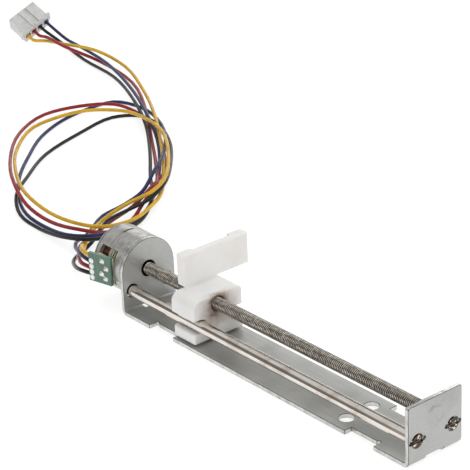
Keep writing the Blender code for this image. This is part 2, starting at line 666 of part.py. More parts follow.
def can_window(name, low, high, cutters):
    """The opening in the side of the cans that the terminal block stands in."""
    inner = CAN_RADIUS - MOTOR_WALL
    reach = math.sqrt(inner**2 - (WINDOW_TOP - SCREW_HEIGHT) ** 2) - FINE_SEAT
    return box(
        name, (low, -CAN_RADIUS - CUT_PAST, WINDOW_BOTTOM), (high, -reach, WINDOW_TOP), cutters
    )


def make_cans(parts, cutters, steel):
    """Two drawn cups, each with claws bent in from its end, open towards each other."""
    outer = CAN_RADIUS
    inner = CAN_RADIUS - MOTOR_WALL
    hole = BUSH_DIAMETER / 2 + FINE_SEAT
    round_over = 0.3 * MM
    tooth = math.pi / CLAWS
    front_profile = [
        (MOTOR_FRONT, hole),
        (MOTOR_FRONT, outer - round_over),
        (MOTOR_FRONT - round_over, outer),
        (FRONT_CAN_RIM, outer),
        (FRONT_CAN_RIM, inner),
        (MOTOR_FRONT - MOTOR_WALL, inner),
        (MOTOR_FRONT - MOTOR_WALL, hole),
    ]
    front = turned("can_front", front_profile, parts, steel)
    join(front, claw_set("front_can_claws", MOTOR_FRONT - MOTOR_WALL, -1, 0.0, cutters))
    rear_profile = [
        (REAR_CAN_RIM, inner),
        (REAR_CAN_RIM, outer),
        (MOTOR_REAR + round_over, outer),
        (MOTOR_REAR, outer - round_over),
        (MOTOR_REAR, hole),
        (MOTOR_REAR + MOTOR_WALL, hole),
        (MOTOR_REAR + MOTOR_WALL, inner),
    ]
    rear = turned("can_rear", rear_profile, parts, steel)
    join(rear, claw_set("rear_can_claws", MOTOR_REAR + MOTOR_WALL, 1, tooth / 2, cutters))
    window_front = MOTOR_FRONT - WINDOW_FROM_FRONT
    window_rear = window_front - WINDOW_LENGTH
    cut(front, can_window("window_front", FRONT_CAN_RIM - CUT_PAST, window_front, cutters))
    cut(rear, can_window("window_rear", window_rear, REAR_CAN_RIM + CUT_PAST, cutters))
    slot_middle = FRONT_CAN_RIM - SEAM_GAP / 2
    slot_bottom = SCREW_HEIGHT + inner - 1.0 * MM
    slot_top = SCREW_HEIGHT + outer + CUT_PAST
    for can, name in ((front, "seam_slot_front"), (rear, "seam_slot_rear")):
        low = (slot_middle - SEAM_SLOT_WIDTH / 2, -SEAM_SLOT_LENGTH / 2, slot_bottom)
        high = (slot_middle + SEAM_SLOT_WIDTH / 2, SEAM_SLOT_LENGTH / 2, slot_top)
        cut(can, box(name, low, high, cutters))


def make_yokes(parts, cutters, steel):
    """Two flat yokes back to back, whose claws mesh with those of the cans."""
    tooth = math.pi / CLAWS
    for name, front, root, way, angle in (
        ("yoke_front", FRONT_YOKE, FRONT_YOKE, 1, tooth),
        ("yoke_rear", REAR_YOKE, REAR_YOKE - YOKE_THICKNESS, -1, tooth * 3 / 2),
    ):
        yoke = ring(name, front, front - YOKE_THICKNESS, CLAW_INNER_RADIUS, YOKE_RADIUS, parts, steel)
        join(yoke, claw_set(f"{name}_claws", root, way, angle, cutters))


def make_windings(parts, plastic, copper):
    """A spool and its winding for each stack."""
    bore = CLAW_INNER_RADIUS + CLAW_THICKNESS + CLAW_SEAT
    barrel = bore + BOBBIN_BARREL
    flange = YOKE_RADIUS - FINE_SEAT
    coil_inner = barrel + FINE_SEAT
    for end, front in (("front", FRONT_STACK), ("rear", REAR_STACK)):
        rear = front - STACK_LENGTH
        profile = [
            (front, bore),
            (front, flange),
            (front - BOBBIN_FLANGE, flange),
            (front - BOBBIN_FLANGE, barrel),
            (rear + BOBBIN_FLANGE, barrel),
            (rear + BOBBIN_FLANGE, flange),
            (rear, flange),
            (rear, bore),
        ]
        turned(f"bobbin_{end}", profile, parts, plastic, 24)
        coil_front = front - BOBBIN_FLANGE - FINE_SEAT
        coil_rear = rear + BOBBIN_FLANGE + FINE_SEAT
        ring(
            f"coil_{end}", coil_front, coil_rear, coil_inner, coil_inner + COIL_BUILD,
            parts, copper, 24,
        )


def make_rotor(parts, magnet, plastic, bronze, steel):
    shaft = SHAFT_DIAMETER / 2
    front = MOTOR_FRONT - FINE_SEAT - BUSH_LENGTH - FINE_SEAT
    rear = front - MAGNET_LENGTH
    ring("rotor_magnet", front, rear, MAGNET_BORE / 2, MAGNET_DIAMETER / 2, parts, magnet, 24)
    ring(
        "rotor_hub", front, rear, shaft + FINE_SEAT, MAGNET_BORE / 2 - FINE_SEAT,
        parts, plastic, SMALL_ROUND_STEPS,
    )
    bush_front = MOTOR_FRONT - FINE_SEAT
    bore = shaft + FINE_SEAT / 2
    ring(
        "front_bush", bush_front, bush_front - BUSH_LENGTH, bore, BUSH_DIAMETER / 2,
        parts, bronze, SMALL_ROUND_STEPS,
    )
    ring(
        "rear_bush", MOTOR_REAR + BUSH_LENGTH, MOTOR_REAR, bore, BUSH_DIAMETER / 2,
        parts, bronze, SMALL_ROUND_STEPS,
    )
    washer = MOTOR_REAR + BUSH_LENGTH + FINE_SEAT + WASHER_THICKNESS
    ring(
        "spring_washer", washer, washer - WASHER_THICKNESS, shaft + FINE_SEAT, WASHER_DIAMETER / 2,
        parts, steel, SMALL_ROUND_STEPS,
    )
    cover = MOTOR_REAR - SEAM_GAP
    edge = CAN_RADIUS - REAR_COVER_INSET
    profile = [
        (cover, 0.0),
        (cover, edge),
        (cover - REAR_COVER_THICKNESS, edge),
        (cover - REAR_COVER_THICKNESS, 0.0),
    ]
    turned("rear_cover", profile, parts, steel, closed=False)


def board_frame():
    """The board's own frame: origin at its front outer edge, +X forwards, +Y inwards."""
    middle = BOARD_BOTTOM + BOARD_HEIGHT / 2
    corner = Matrix.Translation((BOARD_FRONT, BOARD_FRONT_FACE, middle))
    return corner @ Matrix.Rotation(BOARD_YAW, 4, "Z")


def board_face(x, inward):
    """The board's Y where a line along Y meets its outer face, or the plane inward of it."""
    return BOARD_FRONT_FACE + (x - BOARD_FRONT) * math.tan(BOARD_YAW) + inward / math.cos(BOARD_YAW)


def make_board(parts, cutters, laminate, plastic, metal):
    frame = board_frame()
    board = box(
        "pcb",
        (-BOARD_LENGTH, 0.0, -BOARD_HEIGHT / 2),
        (0.0, BOARD_THICKNESS, BOARD_HEIGHT / 2),
        parts,
        laminate,
    )
    board.matrix_world = frame @ Matrix.Translation(board.location)
    block_front = MOTOR_FRONT - WINDOW_FROM_FRONT - SEAT
    block_rear = block_front - BLOCK_LENGTH
    block_inner = -(YOKE_RADIUS + FINE_SEAT)
    seat = BOARD_THICKNESS + FINE_SEAT
    outline = [
        (block_front, block_inner),
        (block_front, board_face(block_front, seat)),
        (block_rear, board_face(block_rear, seat)),
        (block_rear, block_inner),
    ]
    block = prism("terminal_block", outline, "Z", BLOCK_BOTTOM, BLOCK_TOP, parts, plastic)
    for number, (behind_front, height) in enumerate(PIN_PLACES, start=1):
        place = (MOTOR_FRONT - behind_front, height)
        tip = board_face(place[0], 0.0) - PIN_PROUD
        round_bar(
            f"terminal_pin_{number}", "Y", place, PIN_DIAMETER / 2, tip, block_inner,
            parts, metal, 8,
        )
        hole = round_bar(
            f"pin_hole_{number}", "Y", place, PIN_HOLE_DIAMETER / 2,
            tip - CUT_PAST, block_inner + CUT_PAST, cutters, steps=10,
        )
        cut(board, hole)
        cut(block, hole)
    pad_x = frame @ Vector((-BOARD_LENGTH + PAD_FROM_REAR, 0.0, 0.0))
    for number, start in enumerate(route[0] for route in ROUTES.values()):
        place = (pad_x.x, start[2] * MM)
        hole = round_bar(
            f"pad_hole_{number + 1}", "Y", place, PAD_HOLE_DIAMETER / 2,
            pad_x.y - CUT_PAST, pad_x.y + BOARD_THICKNESS + CUT_PAST, cutters, steps=10,
        )
        cut(board, hole)


def smooth_path(points, steps):
    """A centripetal Catmull-Rom curve through the points, with so many steps a stretch."""
    points = [Vector(p) for p in points]
    ends = [2 * points[0] - points[1], *points, 2 * points[-1] - points[-2]]
    path = []
    for a, b, c, d in zip(ends, ends[1:], ends[2:], ends[3:]):
        t1 = (b - a).length ** 0.5
        t2 = t1 + (c - b).length ** 0.5
        t3 = t2 + (d - c).length ** 0.5
        for step in range(steps):
            t = t1 + (t2 - t1) * step / steps
            ab = a.lerp(b, t / t1)
            bc = b.lerp(c, (t - t1) / (t2 - t1))
            cd = c.lerp(d, (t - t2) / (t3 - t2))
            abc = ab.lerp(bc, t / t2)
            bcd = bc.lerp(cd, (t - t1) / (t3 - t1))
            path.append(abc.lerp(bcd, (t - t1) / (t2 - t1)))
    path.append(points[-1])
    return path


def make_leads(parts, materials):
    for colour, route in ROUTES.items():
        curve = bpy.data.curves.new(f"wire_{colour}", "CURVE")
        curve.dimensions = "3D"
        curve.bevel_depth = WIRE_DIAMETER / 2
        curve.bevel_resolution = 2
        curve.use_fill_caps = True
        path = smooth_path([Vector(p) * MM for p in route], LEAD_STEPS)
        spline = curve.splines.new("POLY")
        spline.points.add(len(path) - 1)
        for point, place in zip(spline.points, path):
            point.co = (place.x, place.y, max(place.z, LEAD_LOWEST), 1.0)
        add_object(f"wire_{colour}", curve, parts, materials[colour])


def make_connector(parts, cutters, plastic, metal):
    """A four-way housing that its leads hold up on one corner, with a contact in each tunnel."""
    frame = Matrix.Translation(CONNECTOR_ENTRY) @ Matrix.Rotation(CONNECTOR_YAW, 4, "Z")
    frame = frame @ Matrix.Rotation(CONNECTOR_PITCH, 4, "Y") @ Matrix.Rotation(CONNECTOR_ROLL, 4, "X")
    half = CONNECTOR_WIDTH / 2
    r = CONNECTOR_CORNER
    section = arc((half - r, r), r, -90, 0, 2) + arc((half - r, CONNECTOR_HEIGHT - r), r, 0, 90, 2)
    section += arc((-half + r, CONNECTOR_HEIGHT - r), r, 90, 180, 2)
    section += arc((-half + r, r), r, 180, 270, 2)
    housing = prism("connector_housing", section, "X", 0.0, CONNECTOR_LENGTH, parts, plastic)
    additions = []
    for number, y in enumerate(RIB_PLACES):
        additions.append(box(
            f"connector_rib_{number + 1}",
            (SEAT, y - RIB_WIDTH / 2, CONNECTOR_HEIGHT - OVERLAP),
            (CONNECTOR_LENGTH - SEAT, y + RIB_WIDTH / 2, CONNECTOR_HEIGHT + RIB_HEIGHT),
            cutters,
        ))
        side = (number * 2 - 1) * half
        inner = side - math.copysign(OVERLAP, side)
        outer = side + math.copysign(EAR_WIDTH, side)
        additions.append(box(
            f"connector_ear_{number + 1}",
            (SEAT, min(inner, outer), CONNECTOR_HEIGHT - EAR_HEIGHT - SEAT),
            (EAR_LENGTH, max(inner, outer), CONNECTOR_HEIGHT - SEAT),
            cutters,
        ))
    join(housing, *additions)
    middle = CONNECTOR_HEIGHT / 2
    tunnels = []
    contacts = []
    for number in range(4):
        y = (number - 1.5) * POSITION_PITCH
        tunnels.append(box(
            f"tunnel_{number + 1}",
            (-CUT_PAST, y - TUNNEL / 2, middle - TUNNEL / 2),
            (CONNECTOR_LENGTH + CUT_PAST, y + TUNNEL / 2, middle + TUNNEL / 2),
            cutters,
        ))
        contacts.append(box(
            f"contact_{number + 1}",
            (CONTACT_FROM_ENTRY, y - CONTACT / 2, middle - TUNNEL / 2 + FINE_SEAT),
            (
                CONTACT_FROM_ENTRY + CONTACT_LENGTH,
                y + CONTACT / 2,
                middle - TUNNEL / 2 + FINE_SEAT + CONTACT,
            ),
            parts,
            metal,
        ))
    cut(housing, *tunnels)
    for piece in (housing, *additions, *tunnels, *contacts):
        piece.matrix_world = frame @ piece.matrix_basis


def main():
    clear_scene()
    parts = new_collection("stepper_motor_linear_slide")
    cutters = new_collection("cutters")
    plated = principled("plated_steel", (0.60, 0.61, 0.59), 0.42, 0.85)
    bright = principled("ground_steel", (0.66, 0.64, 0.61), 0.22, 1.0)
    threaded = principled("screw_steel", (0.42, 0.39, 0.35), 0.35, 1.0)
    drawn = principled("drawn_steel", (0.58, 0.57, 0.55), 0.35, 0.9)
    acetal = principled("white_acetal", (0.80, 0.79, 0.76), 0.42)
    ivory = principled("bobbin_plastic", (0.55, 0.47, 0.30), 0.5)
    laminate = principled("board_laminate", (0.07, 0.25, 0.17), 0.4)
    copper = principled("winding_copper", (0.30, 0.13, 0.06), 0.35, 0.8)
    ferrite = principled("magnet_ferrite", (0.05, 0.05, 0.05), 0.6)
    bronze = principled("bush_bronze", (0.45, 0.30, 0.14), 0.4, 0.9)
    tinned = principled("tinned_metal", (0.70, 0.70, 0.68), 0.3, 1.0)
    nylon = principled("connector_nylon", (0.78, 0.77, 0.74), 0.5)
    insulation = {
        "yellow": principled("wire_yellow", (0.75, 0.50, 0.06), 0.4),
        "red": principled("wire_red", (0.42, 0.04, 0.04), 0.4),
        "black": principled("wire_black", (0.02, 0.02, 0.02), 0.4),
        "blue": principled("wire_blue", (0.04, 0.05, 0.22), 0.4),
    }
    make_bracket(parts, cutters, plated)
    make_rods(parts, cutters, bright)
    make_lead_screw(parts, threaded)
    make_end_bearing(parts, acetal, bright)
    make_carriage(parts, cutters, acetal)
    make_cans(parts, cutters, drawn)
    make_yokes(parts, cutters, drawn)
    make_windings(parts, ivory, copper)
    make_rotor(parts, ferrite, ivory, bronze, drawn)
    make_board(parts, cutters, laminate, ivory, tinned)
    make_leads(parts, insulation)
    make_connector(parts, cutters, nylon, tinned)
    for obj in parts.objects:
        if obj.type == "MESH":
            obj.data.shade_smooth()
            obj.data.set_sharp_from_angle(angle=math.radians(35.0))


main()
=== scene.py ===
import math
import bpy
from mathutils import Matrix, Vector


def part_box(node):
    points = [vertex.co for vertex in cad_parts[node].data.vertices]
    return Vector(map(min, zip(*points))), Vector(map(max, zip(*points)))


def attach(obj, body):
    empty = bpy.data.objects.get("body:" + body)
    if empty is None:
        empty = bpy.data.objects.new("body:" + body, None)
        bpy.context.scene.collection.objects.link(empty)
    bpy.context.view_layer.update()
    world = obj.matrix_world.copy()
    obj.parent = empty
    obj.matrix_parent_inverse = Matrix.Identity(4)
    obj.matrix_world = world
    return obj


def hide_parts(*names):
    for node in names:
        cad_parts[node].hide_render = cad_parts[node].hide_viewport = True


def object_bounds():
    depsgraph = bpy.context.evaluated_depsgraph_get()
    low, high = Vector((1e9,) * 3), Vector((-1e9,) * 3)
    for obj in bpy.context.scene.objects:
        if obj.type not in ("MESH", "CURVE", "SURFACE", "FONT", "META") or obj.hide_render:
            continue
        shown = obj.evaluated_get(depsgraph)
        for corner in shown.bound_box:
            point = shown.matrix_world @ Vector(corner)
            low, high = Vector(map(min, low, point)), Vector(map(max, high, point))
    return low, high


bl_info = {
    "name": "Stepper Motor Linear Slide",
    "version": (1, 0, 0),
    "blender": (4, 5, 0),
    "location": "View3D > Sidebar > Slide",
    "description": "Dresses a small lead screw slide and its motor, and sets it on a studio floor",
    "category": "Object",
}

import bmesh
import bpy
from bpy.props import FloatProperty, FloatVectorProperty, IntProperty, PointerProperty
from mathutils import Matrix, Vector

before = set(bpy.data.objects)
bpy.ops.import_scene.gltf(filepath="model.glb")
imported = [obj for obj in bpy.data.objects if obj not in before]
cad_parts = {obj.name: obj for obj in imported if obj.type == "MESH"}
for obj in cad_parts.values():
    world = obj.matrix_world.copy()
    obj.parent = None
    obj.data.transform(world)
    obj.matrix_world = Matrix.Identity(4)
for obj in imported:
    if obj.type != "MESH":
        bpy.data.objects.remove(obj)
CAD_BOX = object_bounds()

MM = 0.001

# Points closer than this are one, faces that turn by less than FLAT_TURN are one, and an
# edge is rounded where its faces turn by more than ROUNDED_TURN
SAME_PLACE = 0.001 * MM
FLAT_TURN = math.radians(0.5)
ROUNDED_TURN = math.radians(30.0)

# Places that several pieces share, read from the frame
SCREW_LOW, SCREW_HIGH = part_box("lead_screw")
SCREW_AXIS = (SCREW_LOW.z + SCREW_HIGH.z) / 2
BORE_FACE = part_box("carriage")[1].x
BOARD_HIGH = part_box("pcb")[1]

# The bracket, centred on X: its plates' faces, how far its flat base reaches to each side
# of the middle, and how high its bends end and its plates stand upright
MOTOR_PLATE_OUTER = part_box("bracket")[0].x
MOTOR_PLATE_INNER = MOTOR_PLATE_OUTER + 1.0 * MM
FAR_PLATE_OUTER = -MOTOR_PLATE_OUTER
FLAT_REACH = 44.5 * MM
BEND_TOP = 1.6 * MM

# The circuit board, turned a little on the motor's side, and how far along it the pads are
BOARD_YAW = math.radians(13.0)
BOARD_THICKNESS = 0.8 * MM
BOARD_LENGTH = 6.6 * MM
PAD_REACH = BOARD_LENGTH - 0.85 * MM

# The light tent round the slide: sine of the height above level, and the tone there.
# Dark gaps between its panels give the polished metal its stripes.
TENT_BANDS = (
    (0.00, (0.80, 0.80, 0.80)), (0.06, (0.22, 0.21, 0.20)), (0.16, (0.25, 0.24, 0.23)),
    (0.22, (0.97, 0.97, 0.97)), (0.46, (0.88, 0.88, 0.88)), (0.52, (0.14, 0.13, 0.12)),
    (0.60, (0.16, 0.15, 0.14)), (0.66, (0.88, 0.88, 0.88)), (1.00, (0.90, 0.91, 0.92)),
)

# The boss in the far plate: where it starts, how much of its height the press left, and how
# far its rim slopes inwards
BOSS_START = FAR_PLATE_OUTER + 0.01 * MM
BOSS_PRESSED = 0.35
BOSS_SLOPE = 0.6 * MM

# The terminal pins: how far along X and how high, in millimetres
PIN_PLACES = ((-52.5, 12.3), (-51.4, 10.6), (-52.8, 9.0), (-51.7, 8.0))

# Route of each lead in millimetres, from the circuit board to the connector
ROUTES = {
    "yellow": (
        (-56.3, -8.2, 11.6), (-60.5, -8.4, 12.2), (-66.5, -4.4, 10.2), (-76, 2.2, 3.6),
        (-81.1, 6.7, 2.6), (-86.4, 12.4, 2), (-91.6, 21.3, 1.6), (-91.1, 27.6, 3.3),
        (-89.6, 33.3, 4.8), (-92.1, 39.8, 5.6), (-104.8, 51.4, 5.6), (-120.9, 61.6, 4.9),
        (-132.9, 65, 4.2), (-145.1, 66, 2.8), (-154, 60, 2.1), (-156.2, 52.1, 1.9),
        (-156, 42.5, 1.3), (-146.6, 30.7, 1.2), (-131.3, 19.8, 2.5), (-114.9, 11.9, 3.5),
        (-102.4, 10.5, 2.5), (-90.5, 11.1, 3), (-83.1, 13.9, 3.7), (-82, 21.2, 3.3),
        (-85.3, 29.3, 2.9), (-91.3, 38.1, 2.5), (-100.5, 46.2, 3.2), (-117, 58.2, 3),
        (-132.9, 68.6, 3.6), (-153.6, 80.4, 2.5), (-173.8, 88.7, 2.8), (-188.8, 89, 4),
        (-205.7, 87.4, 2.5), (-213.1, 87, 1.6), (-216.79, 84.86, 1.52), (-218.19, 84.6, 2.24),
        (-219.86, 84.3, 3.11),
    ),
    "red": (
        (-56.3, -8.2, 8.8), (-60.5, -8.6, 8.8), (-66.5, -5.6, 7.2), (-76, 0.8, 3),
        (-81.7, 5.5, 1.8), (-85.8, 11.8, 0.6), (-88.5, 19.3, 1.4), (-90.8, 28.5, 2.1),
        (-94.8, 37.7, 3.4), (-104.7, 49.5, 1.1), (-118.6, 60, 0.8), (-133.9, 68.2, 0.6),
        (-143.9, 69.6, 1.9), (-151.5, 67.8, 2.5), (-158.9, 61.1, 1.8), (-162, 50.7, 1.3),
        (-154.9, 37.3, 1.6), (-137.9, 22.6, 2.9), (-122.7, 13.5, 3.7), (-110.8, 9.3, 2.3),
        (-98.5, 8, 2), (-85.5, 8.1, 4), (-81.9, 13.3, 2.7), (-85.6, 24, 1.3), (-90.7, 31.9, 2.1),
        (-91.8, 36.6, 4.6), (-106.6, 48.4, 2.5), (-124.6, 60.7, 1.3), (-139.9, 70.7, 2.6),
        (-163.4, 83.5, 1.7), (-187.8, 89.1, 0.8), (-201.9, 86.2, 2.8), (-211.7, 86.7, 3.2),
        (-216.73, 87.17, 2.46), (-218.13, 86.92, 3.18), (-219.79, 86.61, 4.05),
    ),
    "black": (
        (-56.3, -8.2, 7.4), (-60.5, -8.9, 7.2), (-66.5, -6.8, 5.4), (-76, -0.6, 2),
        (-81.2, 6.2, 0.6), (-81.8, 9, 1.6), (-87.2, 17.6, 2.6), (-88.9, 26.1, 2.7),
        (-89.2, 32.6, 3.3), (-91.9, 39.4, 4.2), (-104.6, 51.8, 2.7), (-122, 64.8, 0.8),
        (-134.5, 70.2, 0.6), (-143.3, 70.1, 0.6), (-147.5, 63.9, 0.6), (-144.6, 50.7, 0.6),
        (-138.5, 34.7, 0.7), (-127.6, 21.2, 1.6), (-118.4, 11.2, 1.9), (-109.3, 6.2, 0.9),
        (-99.1, 5.2, 0.6), (-84.4, 4.2, 3.3), (-77.3, 7.4, 4.4), (-79.2, 16.8, 2.8),
        (-84, 26.6, 1.6), (-92.5, 36.2, 2), (-103.6, 44.1, 1.6), (-116.6, 54, 2.3),
        (-132.5, 64.7, 2.7), (-149, 73.1, 3.1), (-172.3, 83.1, 1.4), (-192.6, 86.9, 0.6),
        (-212.7, 91, 1.2), (-216.66, 89.49, 3.4), (-218.07, 89.23, 4.13), (-219.73, 88.93, 4.99),
    ),
    "blue": (
        (-56.3, -8.2, 10.2), (-60.5, -8.3, 10.6), (-66.5, -5.8, 9.4), (-76, 0, 5.2),
        (-86.9, 8.5, 0.6), (-87.5, 11.4, 0.8), (-94.2, 21.2, 0.6), (-95.1, 28.8, 1.1),
        (-95.6, 35.2, 2.6), (-99, 41.7, 5), (-111, 54.9, 4.2), (-129.4, 68, 2.4),
        (-147.2, 74.2, 0.9), (-157.1, 71.8, 0.6), (-157.9, 62, 0.6), (-155.8, 52.3, 0.6),
        (-149.8, 40.9, 0.7), (-140.8, 30.6, 0.8), (-131.3, 21, 0.6), (-119.7, 12.7, 0.6),
        (-109, 7.9, 0.6), (-97.9, 6.5, 0.9), (-85.2, 5.7, 3.2), (-79.3, 9.1, 4.2),
        (-81.8, 19.7, 2.1), (-88.2, 30.4, 0.7), (-97, 40.5, 0.6), (-109.1, 51.4, 0.8),
        (-121.9, 60.7, 2), (-137.2, 68.6, 3.8), (-158.7, 78.9, 3.2), (-179.8, 86.2, 3),
        (-201.3, 91, 2), (-210.3, 92.7, 1.6), (-216.6, 91.81, 4.34), (-218, 91.55, 5.07),
        (-219.67, 91.24, 5.93),
    ),
}


def placed(name, data, body, material):
    """An object made from a mesh or a curve, in one material, on its body."""
    obj = bpy.data.objects.new(name, data)
    bpy.context.scene.collection.objects.link(obj)
    data.materials.append(material)
    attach(obj, body)
    return obj


def new_piece(name, mesh, body, material, smooth_angle=35.0):
    """A piece made from a mesh, smooth except where its faces turn by more than the angle."""
    obj = placed(name, mesh, body, material)
    mesh.shade_smooth()
    mesh.set_sharp_from_angle(angle=math.radians(smooth_angle))
    return obj


def finish_node(node, material):
    """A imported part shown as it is, in the material."""
    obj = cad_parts[node]
    obj.data.materials.clear()
    obj.data.materials.append(material)


def close_mesh(name, shape):
    """A mesh made from the shape, with all its faces turned outwards."""
    bmesh.ops.recalc_face_normals(shape, faces=shape.faces[:])
    mesh = bpy.data.meshes.new(name)
    shape.to_mesh(mesh)
    shape.free()
    return mesh


def dressed(name, node, body, material, edge, segments=2):
    """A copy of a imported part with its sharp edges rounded, shown in the part's place."""
    shape = bmesh.new()
    shape.from_mesh(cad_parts[node].data)
    bmesh.ops.remove_doubles(shape, verts=shape.verts[:], dist=SAME_PLACE)
    bmesh.ops.dissolve_limit(
        shape, angle_limit=FLAT_TURN, verts=shape.verts[:], edges=shape.edges[:]
    )
    obj = new_piece(name, close_mesh(name, shape), body, material)
    if edge:
        bevel = obj.modifiers.new("rounded_edges", "BEVEL")
        bevel.width = edge
        bevel.segments = segments
        bevel.limit_method = "ANGLE"
        bevel.angle_limit = ROUNDED_TURN
        bevel.harden_normals = True
    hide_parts(node)
    return obj


def skin(shape, rings):
    """Faces from each ring of points to the next, and over the first and the last."""
    for ring, following in zip(rings, rings[1:]):
        for step in range(len(ring)):
            after = (step + 1) % len(ring)
            shape.faces.new((ring[step], ring[after], following[after], following[step]))
    shape.faces.new(rings[0])
    shape.faces.new(rings[-1])


def threaded_mesh(name, rows, steps, radius_at):
    """A solid turned about the screw's axis from rows of (x, radius), first row to last.
    radius_at(x, angle, radius) gives the radius with the thread cut into it."""
    shape = bmesh.new()
    rings = []
    for x, radius in rows:
        ring = []
        for step in range(steps):
            angle = 2 * math.pi * step / steps
            r = radius_at(x, angle, radius)
            place = (x, r * math.sin(angle), SCREW_AXIS + r * math.cos(angle))
            ring.append(shape.verts.new(place))
        rings.append(ring)
    skin(shape, rings)
    return close_mesh(name, shape)


def ring_mesh(name, outline, steps):
    """A ring turned about the screw's axis from a closed outline of (x, radius)."""
    shape = bmesh.new()
    rings = []
    for step in range(steps):
        angle = 2 * math.pi * step / steps
        rings.append([
            shape.verts.new((x, r * math.sin(angle), SCREW_AXIS + r * math.cos(angle)))
            for x, r in outline
        ])
    count = len(outline)
    for step in range(steps):
        near, far = rings[step], rings[(step + 1) % steps]
        for i in range(count):
            j = (i + 1) % count
            shape.faces.new((near[i], near[j], far[j], far[i]))
    return close_mesh(name, shape)


def smooth_path(points, steps):
    """A centripetal Catmull-Rom curve through the points, with so many steps a stretch."""
    points = [Vector(p) for p in points]
    ends = [2 * points[0] - points[1], *points, 2 * points[-1] - points[-2]]
    path = []
    for a, b, c, d in zip(ends, ends[1:], ends[2:], ends[3:]):
        t1 = (b - a).length ** 0.5
        t2 = t1 + (c - b).length ** 0.5
        t3 = t2 + (d - c).length ** 0.5
        for step in range(steps):
            t = t1 + (t2 - t1) * step / steps
            ab = a.lerp(b, t / t1)
            bc = b.lerp(c, (t - t1) / (t2 - t1))
            cd = c.lerp(d, (t - t2) / (t3 - t2))
            abc = ab.lerp(bc, t / t2)
            bcd = bc.lerp(cd, (t - t1) / (t3 - t1))
            path.append(abc.lerp(bcd, (t - t1) / (t2 - t1)))
    path.append(points[-1])
    return path


def tube(name, path, radius, body, material, resolution=4):
    """A round, closed tube along a path."""
    curve = bpy.data.curves.new(name, "CURVE")
    curve.dimensions = "3D"
    curve.bevel_depth = radius
    curve.bevel_resolution = resolution
    curve.use_fill_caps = True
    spline = curve.splines.new("POLY")
    spline.points.add(len(path) - 1)
    for point, place in zip(spline.points, path):
        point.co = (*place, 1.0)
    return placed(name, curve, body, material)


# Shader building

NO_STRETCH = (1.0, 1.0, 1.0)


def add_node(tree, kind, values=None, **settings):
    """A node with its settings, and with plain values on its named inputs."""
    node = tree.nodes.new(kind)
    for key, value in settings.items():
        setattr(node, key, value)
    for key, value in (values or {}).items():
        node.inputs[key].default_value = value
    return node


def ramp(tree, source, low, high, to_low=0.0, to_high=1.0):
    """The source's range from low to high, as to_low to to_high, clamped."""
    values = {"From Min": low, "From Max": high, "To Min": to_low, "To Max": to_high}
    node = add_node(tree, "ShaderNodeMapRange", values)
    tree.links.new(source, node.inputs["Value"])
    return node.outputs["Result"]


def math_node(tree, operation, first, second=None):
    """Arithmetic on numbers or sockets."""
    node = add_node(tree, "ShaderNodeMath", operation=operation)
    for socket, value in zip(node.inputs, (first, second)):
        if isinstance(value, (int, float)):
            socket.default_value = value
        elif value is not None:
            tree.links.new(value, socket)
    return node.outputs["Value"]


def mix_colour(tree, factor, first, second):
    """One colour laid over another by a mask."""
    node = add_node(tree, "ShaderNodeMix", data_type="RGBA")
    for name, value in (("Factor_Float", factor), ("A_Color", first), ("B_Color", second)):
        socket = next(s for s in node.inputs if s.identifier == name)
        if isinstance(value, bpy.types.NodeSocket):
            tree.links.new(value, socket)
        else:
            socket.default_value = value if name == "Factor_Float" else (*value, 1.0)
    return next(s for s in node.outputs if s.identifier == "Result_Color")


def new_group(name, inputs, outputs):
    """An empty shared effect, with what flows into it and what it puts out."""
    group = bpy.data.node_groups.new(name, "ShaderNodeTree")
    for title, kind, default in inputs:
        socket = group.interface.new_socket(title, in_out="INPUT", socket_type=kind)
        socket.default_value = default
    for title, kind in outputs:
        group.interface.new_socket(title, in_out="OUTPUT", socket_type=kind)
    into = group.nodes.new("NodeGroupInput")
    out = group.nodes.new("NodeGroupOutput")
    return group, into.outputs, out.inputs


def spread_noise(group, given, made, noise, **settings):
    """Puts out the noise's range from Low to High as a whole mask."""
    group.links.new(given["Scale"], noise.inputs["Scale"])
    spread = add_node(group, "ShaderNodeMapRange", **settings)
    group.links.new(noise.outputs["Fac"], spread.inputs["Value"])
    group.links.new(given["Low"], spread.inputs["From Min"])
    group.links.new(given["High"], spread.inputs["From Max"])
    group.links.new(spread.outputs["Result"], made["Mask"])


def grain_group():
    """Fine streaks drawn out along one axis of the part."""
    group, given, made = new_group(
        "Drawn grain",
        [
            ("Stretch", "NodeSocketVector", NO_STRETCH),
            ("Scale", "NodeSocketFloat", 1000.0),
            ("Low", "NodeSocketFloat", 0.3),
            ("High", "NodeSocketFloat", 0.7),
        ],
        [("Mask", "NodeSocketFloat")],
    )
    place = add_node(group, "ShaderNodeTexCoord").outputs["Object"]
    scaled = add_node(group, "ShaderNodeVectorMath", operation="MULTIPLY")
    group.links.new(place, scaled.inputs[0])
    group.links.new(given["Stretch"], scaled.inputs[1])
    noise = add_node(group, "ShaderNodeTexNoise", {"Detail": 3.0, "Roughness": 0.6})
    group.links.new(scaled.outputs[0], noise.inputs["Vector"])
    spread_noise(group, given, made, noise)
    return group


def blotch_group():
    """Soft irregular patches, such as handling marks, dirt or dulled plating."""
    group, given, made = new_group(
        "Soft blotches",
        [
            ("Scale", "NodeSocketFloat", 200.0),
            ("Low", "NodeSocketFloat", 0.45),
            ("High", "NodeSocketFloat", 0.7),
            ("Warp", "NodeSocketFloat", 0.4),
        ],
        [("Mask", "NodeSocketFloat")],
    )
    place = add_node(group, "ShaderNodeTexCoord").outputs["Object"]
    noise = add_node(group, "ShaderNodeTexNoise", {"Detail": 5.0, "Roughness": 0.55})
    group.links.new(place, noise.inputs["Vector"])
    group.links.new(given["Warp"], noise.inputs["Distortion"])
    spread_noise(group, given, made, noise, interpolation_type="SMOOTHSTEP")
    return group


